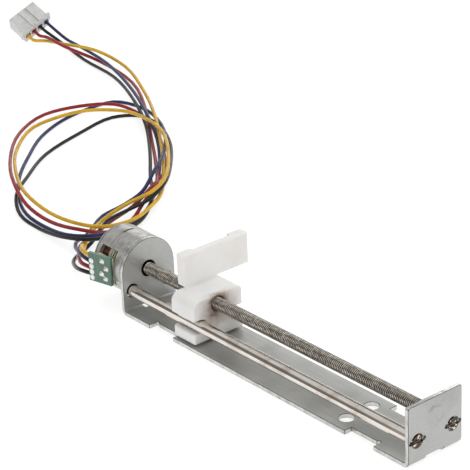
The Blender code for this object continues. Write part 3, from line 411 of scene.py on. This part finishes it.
def axis_distance_group():
    """How far a point lies from the screw's axis, and how far along it, in millimetres."""
    group, given, made = new_group(
        "Screw axis distance",
        [("Height", "NodeSocketFloat", SCREW_AXIS)],
        [("Radius", "NodeSocketFloat"), ("Along", "NodeSocketFloat")],
    )
    place = add_node(group, "ShaderNodeTexCoord").outputs["Object"]
    parts = add_node(group, "ShaderNodeSeparateXYZ")
    group.links.new(place, parts.inputs[0])
    above = math_node(group, "SUBTRACT", parts.outputs["Z"], given["Height"])
    flat = math_node(group, "MULTIPLY", parts.outputs["Y"], parts.outputs["Y"])
    upright = math_node(group, "MULTIPLY", above, above)
    radius = math_node(group, "SQRT", math_node(group, "ADD", flat, upright))
    group.links.new(math_node(group, "DIVIDE", radius, MM), made["Radius"])
    group.links.new(math_node(group, "DIVIDE", parts.outputs["X"], MM), made["Along"])
    return group


def crevice_group():
    """Painted shade that gathers where two surfaces come close together."""
    group, given, made = new_group(
        "Crevices",
        [("Reach", "NodeSocketFloat", 0.5 * MM), ("Strength", "NodeSocketFloat", 1.0)],
        [("Mask", "NodeSocketFloat")],
    )
    near = add_node(group, "ShaderNodeAmbientOcclusion", samples=6)
    group.links.new(given["Reach"], near.inputs["Distance"])
    closed = math_node(group, "SUBTRACT", 1.0, near.outputs["AO"])
    spread = ramp(group, closed, 0.25, 0.9)
    group.links.new(math_node(group, "MULTIPLY", spread, given["Strength"]), made["Mask"])
    return group


GROUPS = {}


def place_group(tree, name, maker, values):
    """One use of a shared effect, with its own values. The group is built at its first use."""
    if name not in GROUPS:
        GROUPS[name] = maker()
    return add_node(tree, "ShaderNodeGroup", values, node_tree=GROUPS[name])


def grain(tree, stretch, scale, low=0.3, high=0.7):
    """A mask of fine streaks. A stretch below 1 draws them out along that axis."""
    values = {"Stretch": stretch, "Scale": scale, "Low": low, "High": high}
    return place_group(tree, "grain", grain_group, values).outputs["Mask"]


def blotches(tree, scale, low=0.45, high=0.7, warp=0.4):
    """A mask of soft patches, more and finer with a larger scale."""
    values = {"Scale": scale, "Low": low, "High": high, "Warp": warp}
    return place_group(tree, "blotches", blotch_group, values).outputs["Mask"]


def crevices(tree, reach, strength):
    """A mask of the places where other surfaces are within reach."""
    values = {"Reach": reach, "Strength": strength}
    return place_group(tree, "crevices", crevice_group, values).outputs["Mask"]


def from_screw_axis(tree, height=SCREW_AXIS):
    """The distance from the screw's axis, or from a line below it, and the place along it."""
    return place_group(tree, "axis", axis_distance_group, {"Height": height}).outputs


def new_material(name, **values):
    """A material with plain values on its shader, such as coat_weight for Coat Weight."""
    material = bpy.data.materials.new(name)
    material.use_nodes = True
    tree = material.node_tree
    shader = tree.nodes["Principled BSDF"]
    for key, value in values.items():
        shader.inputs[key.replace("_", " ").title().replace("Ior", "IOR")].default_value = value
    return material, tree, shader


def gloss(tree, shader, mask, rough):
    """Roughness from the first value to the second, by a mask."""
    tree.links.new(ramp(tree, mask, 0.0, 1.0, *rough), shader.inputs["Roughness"])


def relief(tree, shader, height, distance):
    """Small bumps and grooves, as deep as the distance."""
    bump = add_node(tree, "ShaderNodeBump", {"Distance": distance})
    tree.links.new(height, bump.inputs["Height"])
    tree.links.new(bump.outputs["Normal"], shader.inputs["Normal"])


def metal(
    name, bright, dull, rough, scale, stretch=NO_STRETCH, patches=260.0, groove=0.004,
    reach=0.5, shade_strength=1.0, metallic=1.0,
):
    """A metal with a drawn grain, patches of duller surface, uneven gloss and painted shade in
    its crevices. The grain's grooves and the painted shade's reach are in millimetres."""
    material, tree, shader = new_material(name, metallic=metallic)
    streaks = grain(tree, stretch, scale)
    patch = blotches(tree, patches)
    uneven = math_node(tree, "MULTIPLY", math_node(tree, "ADD", streaks, patch), 0.5)
    clean = mix_colour(tree, uneven, bright, dull)
    # Painted shade: crevices are darkened towards a sixth of the dull tone
    shade = tuple(0.16 * c for c in dull)
    crevice_shaded = mix_colour(tree, crevices(tree, reach * MM, shade_strength), clean, shade)
    tree.links.new(crevice_shaded, shader.inputs["Base Color"])
    gloss(tree, shader, uneven, rough)
    relief(tree, shader, streaks, groove * MM)
    return material


def plated_sheet_material():
    """The sheet's rolled and plated faces, with a faint grain along it and weaker painted shade in
    its crevices.
    """
    return metal(
        "plated_sheet", (0.495, 0.50, 0.485), (0.385, 0.39, 0.375), rough=(0.32, 0.44),
        scale=2200.0, stretch=(0.04, 1.0, 1.0), patches=90.0, groove=0.0003, reach=0.9,
        shade_strength=0.6, metallic=0.55,
    )


def sheared_edge_material():
    """The sheet's cut edge, brighter than its faces: partly bare sheared steel, partly a painted
    highlight where the edge catches the light, in bright and duller streaks.
    """
    return metal(
        "sheared_edge", (0.70, 0.695, 0.67), (0.40, 0.395, 0.38), rough=(0.22, 0.40),
        scale=1500.0, stretch=(1.0, 1.0, 0.3), patches=500.0, groove=0.006, reach=0.4,
    )


def corner_shade_material():
    """Painted shade: a narrow dark line on the rounded corner between the sheet's face and its cut
    edge.
    """
    return metal(
        "painted_corner_shade", (0.16, 0.156, 0.148), (0.075, 0.072, 0.068), rough=(0.35, 0.5),
        scale=1800.0, patches=300.0, groove=0.002, reach=0.3,
    )


def ground_rod_material():
    """Ground steel with fine grooves along it, worn and dark where its end is staked."""
    material = metal(
        "ground_rod", (0.86, 0.815, 0.76), (0.46, 0.40, 0.34), rough=(0.06, 0.14),
        scale=5000.0, stretch=(0.02, 1.0, 1.0), patches=200.0, groove=0.0006, reach=0.6,
    )
    tree = material.node_tree
    colour = tree.nodes["Principled BSDF"].inputs["Base Color"]
    ground = colour.links[0].from_socket
    plate = FAR_PLATE_OUTER / MM
    at_end = ramp(tree, from_screw_axis(tree)["Along"], plate - 0.4, plate - 0.25)
    scars = blotches(tree, 800.0, low=0.53, high=0.60)
    worn = mix_colour(tree, scars, (0.10, 0.07, 0.05), (0.80, 0.76, 0.70))
    tree.links.new(mix_colour(tree, at_end, ground, worn), colour)
    return material


def drawn_can_material():
    """Drawn steel, scratched round the can."""
    return metal(
        "drawn_can", (0.56, 0.55, 0.525), (0.22, 0.216, 0.204), rough=(0.22, 0.46),
        scale=2300.0, stretch=(1.0, 0.14, 0.14), patches=620.0, groove=0.008, reach=0.6,
        metallic=0.55,
    )


def tinned_material():
    """Solder and tinned wire."""
    return metal(
        "tinned", (0.86, 0.86, 0.84), (0.50, 0.50, 0.48), rough=(0.12, 0.30), scale=2400.0,
        patches=900.0, groove=0.012,
    )


def thread_material(settings):
    """Steel painted near black in the thread's roots as painted shade, with warm, grimy crests."""
    material, tree, shader = new_material("threaded_steel", metallic=1.0)
    crest = settings.screw_radius / MM
    root_shade_top = crest - settings.thread_depth / MM + 0.14
    height = ramp(tree, from_screw_axis(tree)["Radius"], root_shade_top, crest)
    grime = blotches(tree, 1100.0, low=0.35, high=0.7)
    steel = mix_colour(tree, grime, (0.70, 0.645, 0.58), (0.40, 0.36, 0.31))
    # Painted shade: near black in the roots, fading to steel towards the crests
    coloured = mix_colour(tree, height, (0.012, 0.009, 0.006), steel)
    tree.links.new(coloured, shader.inputs["Base Color"])
    gloss(tree, shader, height, (0.6, 0.2))
    return material


def carriage_material(settings):
    """White acetal, a little translucent, with brown grease round the screw's bore."""
    material, tree, shader = new_material(
        "white_acetal", subsurface_weight=0.5, subsurface_radius=(0.0034, 0.0030, 0.0026),
        subsurface_scale=0.6, ior=1.48,
    )
    # A faint halo that has sagged and crept outwards, and a dark ring that touches the screw.
    # Their distances are in millimetres.
    around_screw = from_screw_axis(tree)
    sagged = from_screw_axis(tree, SCREW_AXIS - 0.7 * MM)["Radius"]
    uneven = blotches(tree, 330.0, low=0.25, high=0.75, warp=1.2)
    wander = math_node(tree, "MULTIPLY", uneven, 1.3)
    crept = math_node(tree, "ADD", sagged, wander)
    touched = math_node(tree, "ADD", around_screw["Radius"], wander)
    halo_start, halo_end, halo_fade = 2.2, settings.stain_reach / MM, 1.3
    ring_start, ring_end, ring_fade = 1.9, 4.0, 1.2
    halo = ramp(tree, crept, halo_start, halo_end, to_low=1.0, to_high=0.0)
    ring = ramp(tree, touched, ring_start, ring_end, to_low=1.0, to_high=0.0)
    face = BORE_FACE / MM
    near_face = ramp(tree, around_screw["Along"], face - 1.6, face - 0.1)
    stain = math_node(tree, "MULTIPLY", math_node(tree, "POWER", halo, halo_fade), near_face)
    soaked = math_node(tree, "MULTIPLY", math_node(tree, "POWER", ring, ring_fade), near_face)
    cloud = blotches(tree, 120.0, low=0.3, high=0.8)
    plain = mix_colour(tree, cloud, settings.acetal_colour, (0.80, 0.785, 0.76))
    warmth = (0.95, 0.74, 0.60)
    thinned = tuple((0.38 + 0.55 * c) * w for c, w in zip(settings.grease_colour, warmth))
    stained = mix_colour(tree, stain, plain, thinned)
    stained = mix_colour(tree, soaked, stained, settings.grease_colour)
    tree.links.new(stained, shader.inputs["Base Color"])
    gloss(tree, shader, cloud, (0.36, 0.46))
    relief(tree, shader, grain(tree, NO_STRETCH, 5200.0), 0.004 * MM)
    return material


def plastic(name, colour, second, rough, scale=400.0, tooth=0.004, **values):
    """A moulded or extruded plastic with clouds of a second tone and a fine tooth, whose
    height is in millimetres."""
    material, tree, shader = new_material(name, **values)
    cloud = blotches(tree, scale, low=0.3, high=0.75)
    tree.links.new(mix_colour(tree, cloud, colour, second), shader.inputs["Base Color"])
    gloss(tree, shader, cloud, rough)
    relief(tree, shader, grain(tree, NO_STRETCH, 6000.0), tooth * MM)
    return material


def nylon_material():
    """The connector's white nylon."""
    return plastic(
        "moulded_nylon", (0.66, 0.66, 0.645), (0.56, 0.555, 0.545), rough=(0.38, 0.50),
        subsurface_weight=0.3, subsurface_radius=(0.0012, 0.0011, 0.0010), subsurface_scale=0.5,
    )


def insulation_material(name, colour, second):
    """The smooth vinyl round a lead."""
    return plastic(
        f"insulation_{name}", colour, second, rough=(0.26, 0.38), scale=260.0, tooth=0.001,
        specular_ior_level=0.24,
    )


def winding_material():
    """Enamelled copper: a metal core under a dark clear coat."""
    material = metal(
        "enamelled_copper", (0.13, 0.05, 0.026), (0.03, 0.012, 0.008), rough=(0.25, 0.5),
        scale=3000.0, patches=600.0,
    )
    material.node_tree.nodes["Principled BSDF"].inputs["Coat Weight"].default_value = 0.5
    return material


def board_material():
    """Green solder resist over woven laminate, with painted shade round the joints."""
    material, tree, shader = new_material("solder_resist", coat_weight=0.4, coat_roughness=0.2)
    cloud = blotches(tree, 500.0, low=0.3, high=0.7)
    base = mix_colour(tree, cloud, (0.034, 0.104, 0.066), (0.062, 0.165, 0.106))
    weave = grain(tree, (1.0, 1.0, 0.25), 2600.0, low=0.35, high=0.65)
    faint = math_node(tree, "MULTIPLY", weave, 0.35)
    woven = mix_colour(tree, faint, base, (0.17, 0.29, 0.21))
    # Painted shade: near black where pins, solder and block stand close to the board
    joint_shaded = mix_colour(tree, crevices(tree, 0.9 * MM, 3.0), woven, (0.008, 0.020, 0.014))
    tree.links.new(joint_shaded, shader.inputs["Base Color"])
    gloss(tree, shader, cloud, (0.28, 0.42))
    relief(tree, shader, weave, 0.01 * MM)
    return material


def floor_material(settings):
    """A pale, matt floor, lit a little from below."""
    material, tree, shader = new_material(
        "studio_floor", roughness=0.8, emission_strength=settings.floor_glow,
        emission_color=(1.0, 1.0, 1.0, 1.0),
    )
    tone = settings.floor_tone
    cloud = blotches(tree, 6.0, low=0.3, high=0.8)
    paler = tuple(min(1.0, c + 0.02) for c in tone)
    tree.links.new(mix_colour(tree, cloud, tone, paler), shader.inputs["Base Color"])
    return material


# What a user would change


class SlideStageSettings(bpy.types.PropertyGroup):
    camera_place: FloatVectorProperty(
        name="Camera place", description="Where the camera stands", size=3,
        default=(0.3026, -0.2536, 0.2177), subtype="TRANSLATION", unit="LENGTH",
    )
    camera_azimuth: FloatProperty(
        name="Azimuth", description="Direction the camera looks from, 0 looking along +Y",
        default=math.radians(51.29), subtype="ANGLE",
    )
    camera_elevation: FloatProperty(
        name="Elevation", description="How far above level the camera looks from",
        default=math.radians(24.96), subtype="ANGLE",
    )
    camera_roll: FloatProperty(
        name="Roll", description="Turn of the camera about its own line of sight",
        default=math.radians(-2.62), subtype="ANGLE",
    )
    camera_lens: FloatProperty(
        name="Lens", description="Focal length on a 36 mm sensor, in millimetres",
        default=157.9, min=10.0, max=400.0,
    )
    floor_tone: FloatVectorProperty(
        name="Floor", description="Colour of the studio floor", size=3, subtype="COLOR",
        default=(0.30, 0.30, 0.30), min=0.0, max=1.0,
    )
    tent_strength: FloatProperty(
        name="Tent strength", description="Brightness of the light tent round the slide",
        default=0.85, min=0.0, max=5.0,
    )
    floor_glow: FloatProperty(
        name="Floor glow", description="Strength of the light under the translucent floor",
        default=0.80, min=0.0, max=5.0,
    )
    key_power: FloatProperty(
        name="Overhead light", description="Power of the large overhead softbox",
        default=3.0, min=0.0, unit="POWER",
    )
    fill_power: FloatProperty(
        name="Fill light", description="Power of the softbox beside the camera",
        default=0.95, min=0.0, unit="POWER",
    )
    rim_power: FloatProperty(
        name="Back light", description="Power of the low softbox behind the slide",
        default=1.0, min=0.0, unit="POWER",
    )


class SlideLookSettings(bpy.types.PropertyGroup):
    screw_radius: FloatProperty(
        name="Screw radius", description="Radius over the thread's crests",
        default=(SCREW_HIGH.z - SCREW_LOW.z) / 2, unit="LENGTH",
    )
    thread_pitch: FloatProperty(
        name="Thread pitch", description="Distance from one crest to the next",
        default=0.5 * MM, unit="LENGTH",
    )
    thread_depth: FloatProperty(
        name="Thread depth", description="Height of the crests over the roots",
        default=0.36 * MM, unit="LENGTH",
    )
    sheet_edge: FloatProperty(
        name="Sheet edge", description="How far the bracket's cut edges are rounded",
        default=0.1 * MM, unit="LENGTH",
    )
    wire_diameter: FloatProperty(
        name="Lead diameter", description="Outside diameter of a lead's insulation",
        default=1.0 * MM, unit="LENGTH",
    )
    moulding_cell: FloatProperty(
        name="Moulding cell", description="Size of the even cells that the carriage is cut into",
        default=0.15 * MM, unit="LENGTH",
    )
    moulding_rounding: IntProperty(
        name="Moulding rounding", description="How many times the carriage's cells are smoothed",
        default=8, min=0, max=40,
    )
    acetal_colour: FloatVectorProperty(
        name="Carriage", description="Colour of the moulded carriage", size=3,
        subtype="COLOR", default=(0.86, 0.85, 0.835), min=0.0, max=1.0,
    )
    grease_colour: FloatVectorProperty(
        name="Grease", description="Colour of the grease round the carriage's bore", size=3,
        subtype="COLOR", default=(0.13, 0.06, 0.028), min=0.0, max=1.0,
    )
    stain_reach: FloatProperty(
        name="Stain reach", description="How far from the screw's axis the grease has spread",
        default=6.6 * MM, unit="LENGTH",
    )
    winding_turns: IntProperty(
        name="Winding turns", description="Turns in the outer layer of each winding",
        default=18, min=4, max=60,
    )


# One operator for each piece or group of like pieces


class SLIDE_OT_stage(bpy.types.Operator):
    """Makes the camera, the lights and the pale studio floor"""

    bl_idname = "slide.stage"
    bl_label = "Studio stage"

    def execute(self, context):
        settings = context.scene.slide_stage
        self.make_camera(context, settings)
        self.make_tent(context, settings)
        self.make_lights(context, settings)
        floor = bpy.data.meshes.new("studio_floor")
        shape = bmesh.new()
        bmesh.ops.create_grid(shape, x_segments=8, y_segments=8, size=3.0)
        shape.to_mesh(floor)
        shape.free()
        obj = bpy.data.objects.new("studio_floor", floor)
        obj.location.z = CAD_BOX[0].z - 0.02 * MM
        context.scene.collection.objects.link(obj)
        floor.materials.append(floor_material(settings))
        return {"FINISHED"}

    def make_camera(self, context, settings):
        azimuth, elevation = settings.camera_azimuth, settings.camera_elevation
        back = Vector((
            math.sin(azimuth) * math.cos(elevation),
            -math.cos(azimuth) * math.cos(elevation),
            math.sin(elevation),
        ))
        camera = bpy.data.objects.new("camera", bpy.data.cameras.new("camera"))
        camera.data.lens = settings.camera_lens
        camera.data.sensor_width = 36.0
        camera.data.clip_start = 0.01
        camera.rotation_mode = "QUATERNION"
        roll = Matrix.Rotation(settings.camera_roll, 3, "Z").to_quaternion()
        camera.rotation_quaternion = back.to_track_quat("Z", "Y") @ roll
        camera.location = settings.camera_place
        context.scene.collection.objects.link(camera)
        context.scene.camera = camera

    def make_tent(self, context, settings):
        world = bpy.data.worlds.new("studio")
        world.use_nodes = True
        tree = world.node_tree
        surround = tree.nodes["Background"]
        surround.inputs["Strength"].default_value = settings.tent_strength
        direction = add_node(tree, "ShaderNodeTexCoord").outputs["Generated"]
        parts = add_node(tree, "ShaderNodeSeparateXYZ")
        tree.links.new(direction, parts.inputs[0])
        bands = add_node(tree, "ShaderNodeValToRGB")
        tree.links.new(parts.outputs["Z"], bands.inputs["Fac"])
        ramp_points = bands.color_ramp.elements
        while len(ramp_points) < len(TENT_BANDS):
            ramp_points.new(1.0)
        for point, (height, tone) in zip(ramp_points, TENT_BANDS):
            point.position = height
            point.color = (*tone, 1.0)
        tree.links.new(bands.outputs["Color"], surround.inputs["Color"])
        context.scene.world = world
        context.scene.view_settings.view_transform = "Standard"

    def make_lights(self, context, settings):
        aimed_at = Vector((-0.03, 0.03, 0.0))
        # Each softbox: its name, power, side and place
        softboxes = (
            ("overhead", settings.key_power, 1.1, (0.15, 0.25, 0.9)),
            ("fill", settings.fill_power, 0.5, (0.82, -0.48, 0.45)),
            ("back", settings.rim_power, 0.6, (-0.75, 0.75, 0.35)),
        )
        for name, power, size, place in softboxes:
            data = bpy.data.lights.new(name, "AREA")
            data.energy = power
            data.size = size
            obj = bpy.data.objects.new(name, data)
            obj.location = place
            obj.rotation_euler = (Vector(place) - aimed_at).to_track_quat("Z", "Y").to_euler()
            context.scene.collection.objects.link(obj)


class SLIDE_OT_leads(bpy.types.Operator):
    """Makes the four leads. Their bare tinned ends in the circuit board are made with the board"""

    bl_idname = "slide.leads"
    bl_label = "Motor leads"

    def execute(self, context):
        settings = context.scene.slide_looks
        radius = settings.wire_diameter / 2
        lowest = radius + 0.06 * MM
        steps = 4
        colours = {
            "yellow": ((0.74, 0.44, 0.025), (0.60, 0.36, 0.025)),
            "red": ((0.33, 0.022, 0.026), (0.24, 0.02, 0.03)),
            "black": ((0.010, 0.012, 0.012), (0.020, 0.022, 0.022)),
            "blue": ((0.020, 0.030, 0.12), (0.028, 0.034, 0.085)),
        }
        for number, (colour, route) in enumerate(ROUTES.items(), start=1):
            name = f"wire_{colour}"
            path = smooth_path([Vector(p) * MM for p in route], steps)
            for place in path:
                place.z = max(place.z, lowest)
            material = insulation_material(colour, *colours[colour])
            lead = tube(f"lead_{colour}", path, radius, "root", material)
            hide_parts(name)
        return {"FINISHED"}


class SLIDE_OT_bracket(bpy.types.Operator):
    """Dresses the bent sheet bracket, with a soft slope round its pressed boss"""

    bl_idname = "slide.bracket"
    bl_label = "Bracket"

    def execute(self, context):
        edge = context.scene.slide_looks.sheet_edge
        material = plated_sheet_material()
        sheet = dressed("bracket_sheet", "bracket", "root", material, edge)
        shape = bmesh.new()
        shape.from_mesh(sheet.data)
        for vert in shape.verts:
            if vert.co.x > BOSS_START:
                inward = Vector((0.0, -vert.co.y, SCREW_AXIS - vert.co.z)).normalized()
                vert.co.x = FAR_PLATE_OUTER + BOSS_PRESSED * (vert.co.x - FAR_PLATE_OUTER)
                vert.co += inward * BOSS_SLOPE
        for face in shape.faces:
            face.material_index = int(self.is_cut(face))
        shape.to_mesh(sheet.data)
        shape.free()
        # The cut edges are brighter than the faces: partly bare steel, partly painted highlight
        sheet.data.materials.append(sheared_edge_material())
        # The rounded corners take a near-black material: a painted shade line along each edge
        sheet.data.materials.append(corner_shade_material())
        corners = sheet.modifiers["rounded_edges"]
        corners.material = len(sheet.data.materials) - 1
        corners.use_clamp_overlap = False
        return {"FINISHED"}

    def is_cut(self, face):
        """Whether the face is a cut edge of the sheet, and not its rolled surface."""
        middle, normal = face.calc_center_median(), face.normal
        if middle.x > BOSS_START:
            return False
        if abs(normal.y) > 0.5:
            return True
        if middle.z > BEND_TOP:
            return abs(normal.x) < 0.5
        return abs(middle.x) < FLAT_REACH and abs(normal.z) < 0.5


class SLIDE_OT_rods(bpy.types.Operator):
    """Dresses the two ground guide rods"""

    bl_idname = "slide.rods"
    bl_label = "Guide rods"

    def execute(self, context):
        material = ground_rod_material()
        for side in ("front", "rear"):
            name = f"guide_rod_{side}"
            dressed(f"ground_rod_{side}", name, "root", material, 0.12 * MM)
        return {"FINISHED"}


class SLIDE_OT_lead_screw(bpy.types.Operator):
    """Cuts the real thread on the lead screw"""

    bl_idname = "slide.lead_screw"
    bl_label = "Lead screw"

    def execute(self, context):
        settings = context.scene.slide_looks
        radius = settings.screw_radius
        pitch = settings.thread_pitch
        rows_per_turn = 8
        steps_round = 24
        shaft = 1.0 * MM
        journal = 0.75 * MM
        journal_length = 0.75 * MM
        tip = 0.1 * MM
        shoulder_tip = 0.15 * MM
        start = MOTOR_PLATE_INNER + 0.2 * MM
        end = SCREW_HIGH.x - journal_length
        shoulder = MOTOR_PLATE_OUTER + 0.2 * MM
        turns = int((end - start) / pitch)
        step = (end - start) / (turns * rows_per_turn)
        rows = [
            (SCREW_LOW.x, shaft - tip),
            (SCREW_LOW.x + tip, shaft),
            (shoulder, shaft),
            (shoulder, radius - shoulder_tip),
            (shoulder + shoulder_tip, radius),
        ]
        rows += [(start + step * i, radius) for i in range(turns * rows_per_turn + 1)]
        rows += [
            (end, journal),
            (SCREW_HIGH.x - tip, journal),
            (SCREW_HIGH.x, journal - tip),
        ]
        # Shares of a half turn that the root and the flank take up, and the far end's chamfer
        root_share, flank_share = 0.34, 0.26
        chamfer_length, chamfer_slope = 0.45 * MM, 0.7

        def with_thread(x, angle, r):
            if not start <= x <= end or r < radius:
                return r
            phase = ((x - start) / pitch - angle / (2 * math.pi)) % 1.0
            rise = (abs(2 * phase - 1) - root_share) / flank_share
            flank = min(1.0, max(0.0, rise))
            run_in = min(1.0, (x - start) / pitch, (end - x) / pitch)
            chamfer = max(0.0, chamfer_length - (end - x)) * chamfer_slope
            return min(r - settings.thread_depth * (1 - flank) * run_in, r - chamfer)

        mesh = threaded_mesh("threaded_screw", rows, steps_round, with_thread)
        material = thread_material(settings)
        screw = new_piece("threaded_screw", mesh, "screw", material, 60.0)
        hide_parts("lead_screw")
        return {"FINISHED"}


class SLIDE_OT_carriage(bpy.types.Operator):
    """Dresses the moulded carriage and its upright arm"""

    bl_idname = "slide.carriage"
    bl_label = "Carriage"

    def execute(self, context):
        settings = context.scene.slide_looks
        material = carriage_material(settings)
        moulding = dressed(
            "carriage_moulding", "carriage", "carriage", material, edge=0.0
        )
        cells = moulding.modifiers.new("even_cells", "REMESH")
        cells.mode = "VOXEL"
        cells.voxel_size = settings.moulding_cell
        cells.use_smooth_shade = True
        rounding = moulding.modifiers.new("rounded_edges", "SMOOTH")
        rounding.factor = 0.5
        rounding.iterations = settings.moulding_rounding
        return {"FINISHED"}


class SLIDE_OT_motor(bpy.types.Operator):
    """Dresses the motor's cans and cover, and winds its coils"""

    bl_idname = "slide.motor"
    bl_label = "Motor"

    def execute(self, context):
        steel = drawn_can_material()
        for name, node in (("motor_can_front", "can_front"), ("motor_can_rear", "can_rear")):
            dressed(name, node, "root", steel, 0.06 * MM)
        dressed("motor_rear_cover", "rear_cover", "root", steel, 0.1 * MM)
        for node in ("yoke_front", "yoke_rear", "spring_washer"):
            finish_node(node, steel)
        spool = plastic(
            "spool_plastic", (0.60, 0.50, 0.30), (0.50, 0.41, 0.24), rough=(0.4, 0.55)
        )
        for node in ("bobbin_front", "bobbin_rear", "rotor_hub"):
            finish_node(node, spool)
        magnet = plastic(
            "sintered_magnet", (0.035, 0.035, 0.038), (0.06, 0.06, 0.06), rough=(0.5, 0.7)
        )
        finish_node("rotor_magnet", magnet)
        # The bushes are oiled bronze painted near black: painted shade for the dark hole round the
        # screw
        bronze = metal(
            "bronze_oil_and_shade", (0.075, 0.055, 0.040), (0.030, 0.024, 0.020), rough=(0.35, 0.55),
            scale=2500.0,
        )
        for node in ("front_bush", "rear_bush"):
            finish_node(node, bronze)
        self.wind_coils(context.scene.slide_looks.winding_turns)
        return {"FINISHED"}

    def wind_coils(self, turns):
        """Each winding's outer layer of wire as rounded turns, on a plain ring."""
        material = winding_material()
        depth = 1.3 * MM
        points = 4
        steps_round = 48
        for end in ("front", "rear"):
            low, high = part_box(f"coil_{end}")
            outer = high.z - SCREW_AXIS
            inner = outer - depth
            pitch = (high.x - low.x) / turns
            outline = [(high.x, inner)]
            for turn in range(turns):
                for part in range(points):
                    angle = math.pi * (part + 0.5) / points
                    x = high.x - pitch * (turn + 0.5) + math.cos(angle) * pitch / 2
                    outline.append((x, outer - pitch / 2 + math.sin(angle) * pitch / 2))
            outline.append((low.x, inner))
            mesh = ring_mesh(f"winding_{end}", outline, steps_round)
            coil = new_piece(f"winding_{end}", mesh, "root", material, 60.0)
            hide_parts(f"coil_{end}")


class SLIDE_OT_board(bpy.types.Operator):
    """Dresses the circuit board, its pins, solder and terminal block"""

    bl_idname = "slide.board"
    bl_label = "Circuit board"

    def execute(self, context):
        resist = board_material()
        tin = tinned_material()
        dressed("circuit_board", "pcb", "root", resist, 0.04 * MM, segments=1)
        block = plastic(
            "terminal_plastic", (0.62, 0.55, 0.38), (0.52, 0.46, 0.30), rough=(0.4, 0.5)
        )
        dressed("terminal_moulding", "terminal_block", "root", block, 0.08 * MM)
        front = Vector((BOARD_HIGH.x, BOARD_HIGH.y - BOARD_THICKNESS * math.cos(BOARD_YAW)))
        for number, (x, z) in enumerate(PIN_PLACES, start=1):
            finish_node(f"terminal_pin_{number}", tin)
            place = Vector((x * MM, front.y + (x * MM - front.x) * math.tan(BOARD_YAW), z * MM))
            self.solder(f"pin_solder_{number}", place, 0.74 * MM, 0.52 * MM, tin)
        pad = front - PAD_REACH * Vector((math.cos(BOARD_YAW), math.sin(BOARD_YAW)))
        for colour, route in ROUTES.items():
            place = Vector((*pad, route[0][2] * MM))
            self.solder(f"lead_solder_{colour}", place, 0.68 * MM, 0.52 * MM, tin)
            self.core(colour, Vector(route[0]) * MM, place, tin)
        return {"FINISHED"}

    def solder(self, name, place, radius, height, material):
        """A fillet of solder that rises from its pad to a rounded tip, within the part's box."""
        outward = Vector((math.sin(BOARD_YAW), -math.cos(BOARD_YAW), 0.0))
        room = (place.y - CAD_BOX[0].y) / math.cos(BOARD_YAW)
        foot, spare = 0.03 * MM, 0.06 * MM
        height = min(height, room - foot - spare)
        taper, hollow = 0.78, 0.7
        shares = (0.15, 0.3, 0.5, 0.7, 0.85)
        profile = [(radius, 0.0), (radius, foot)]
        profile += [
            (radius * (1 - taper * t**hollow), foot + height * math.sin(t * math.pi / 2))
            for t in shares
        ]
        turn = outward.to_track_quat("Z", "Y").to_matrix().to_4x4()
        shape = bmesh.new()
        steps = 20
        rings = [
            [
                shape.verts.new((r * math.cos(a), r * math.sin(a), h))
                for a in (2 * math.pi * s / steps for s in range(steps))
            ]
            for r, h in profile
        ]
        skin(shape, rings)
        bmesh.ops.transform(shape, matrix=Matrix.Translation(place) @ turn, verts=shape.verts[:])
        new_piece(name, close_mesh(name, shape), "root", material, 50.0)

    def core(self, colour, start, pad, material):
        """The bare end of a lead, bent from the insulation into its pad."""
        inward = Vector((-math.sin(BOARD_YAW), math.cos(BOARD_YAW), 0.0))
        points = (
            start + Vector((-0.3, 0.0, 0.0)) * MM,
            start + Vector((0.25, -0.1, 0.0)) * MM,
            pad + inward * (BOARD_THICKNESS + 0.15 * MM),
            pad + inward * 0.05 * MM,
        )
        radius = 0.22 * MM
        path = smooth_path(points, steps=4)
        tube(f"core_{colour}", path, radius, "root", material, resolution=3)


class SLIDE_OT_connector(bpy.types.Operator):
    """Dresses the connector housing and its contacts"""

    bl_idname = "slide.connector"
    bl_label = "Connector"

    def execute(self, context):
        nylon = nylon_material()
        edge = 0.12 * MM
        dressed("connector_moulding", "connector_housing", "root", nylon, edge)
        tin = tinned_material()
        for number in range(1, len(ROUTES) + 1):
            finish_node(f"contact_{number}", tin)
        return {"FINISHED"}


class SLIDE_OT_end_bearing(bpy.types.Operator):
    """Finishes the end bearing and its thrust ball"""

    bl_idname = "slide.end_bearing"
    bl_label = "End bearing"

    def execute(self, context):
        white = plastic(
            "bearing_plastic", (0.74, 0.73, 0.70), (0.66, 0.65, 0.62), rough=(0.35, 0.5)
        )
        finish_node("end_bearing", white)
        finish_node("thrust_ball", ground_rod_material())
        return {"FINISHED"}


class SLIDE_PT_panel(bpy.types.Panel):
    """Lists the slide's pieces in the order they are made"""

    bl_idname = "SLIDE_PT_panel"
    bl_label = "Linear slide"
    bl_space_type = "VIEW_3D"
    bl_region_type = "UI"
    bl_category = "Slide"

    def draw(self, context):
        layout = self.layout
        for operator in OPERATORS:
            layout.operator(operator.bl_idname)
        for settings in (context.scene.slide_stage, context.scene.slide_looks):
            column = layout.column()
            for name in settings.__annotations__:
                column.prop(settings, name)


OPERATORS = (
    SLIDE_OT_stage,
    SLIDE_OT_connector,
    SLIDE_OT_leads,
    SLIDE_OT_bracket,
    SLIDE_OT_rods,
    SLIDE_OT_lead_screw,
    SLIDE_OT_carriage,
    SLIDE_OT_motor,
    SLIDE_OT_board,
    SLIDE_OT_end_bearing,
)
CLASSES = (SlideStageSettings, SlideLookSettings, *OPERATORS, SLIDE_PT_panel)


def register():
    for cls in CLASSES:
        bpy.utils.register_class(cls)
    bpy.types.Scene.slide_stage = PointerProperty(type=SlideStageSettings)
    bpy.types.Scene.slide_looks = PointerProperty(type=SlideLookSettings)


def unregister():
    del bpy.types.Scene.slide_looks
    del bpy.types.Scene.slide_stage
    for cls in reversed(CLASSES):
        bpy.utils.unregister_class(cls)


def main():
    """Makes every piece in order."""
    register()
    for operator in OPERATORS:
        group, name = operator.bl_idname.split(".")
        getattr(getattr(bpy.ops, group), name)()


if __name__ == "__main__":
    main()
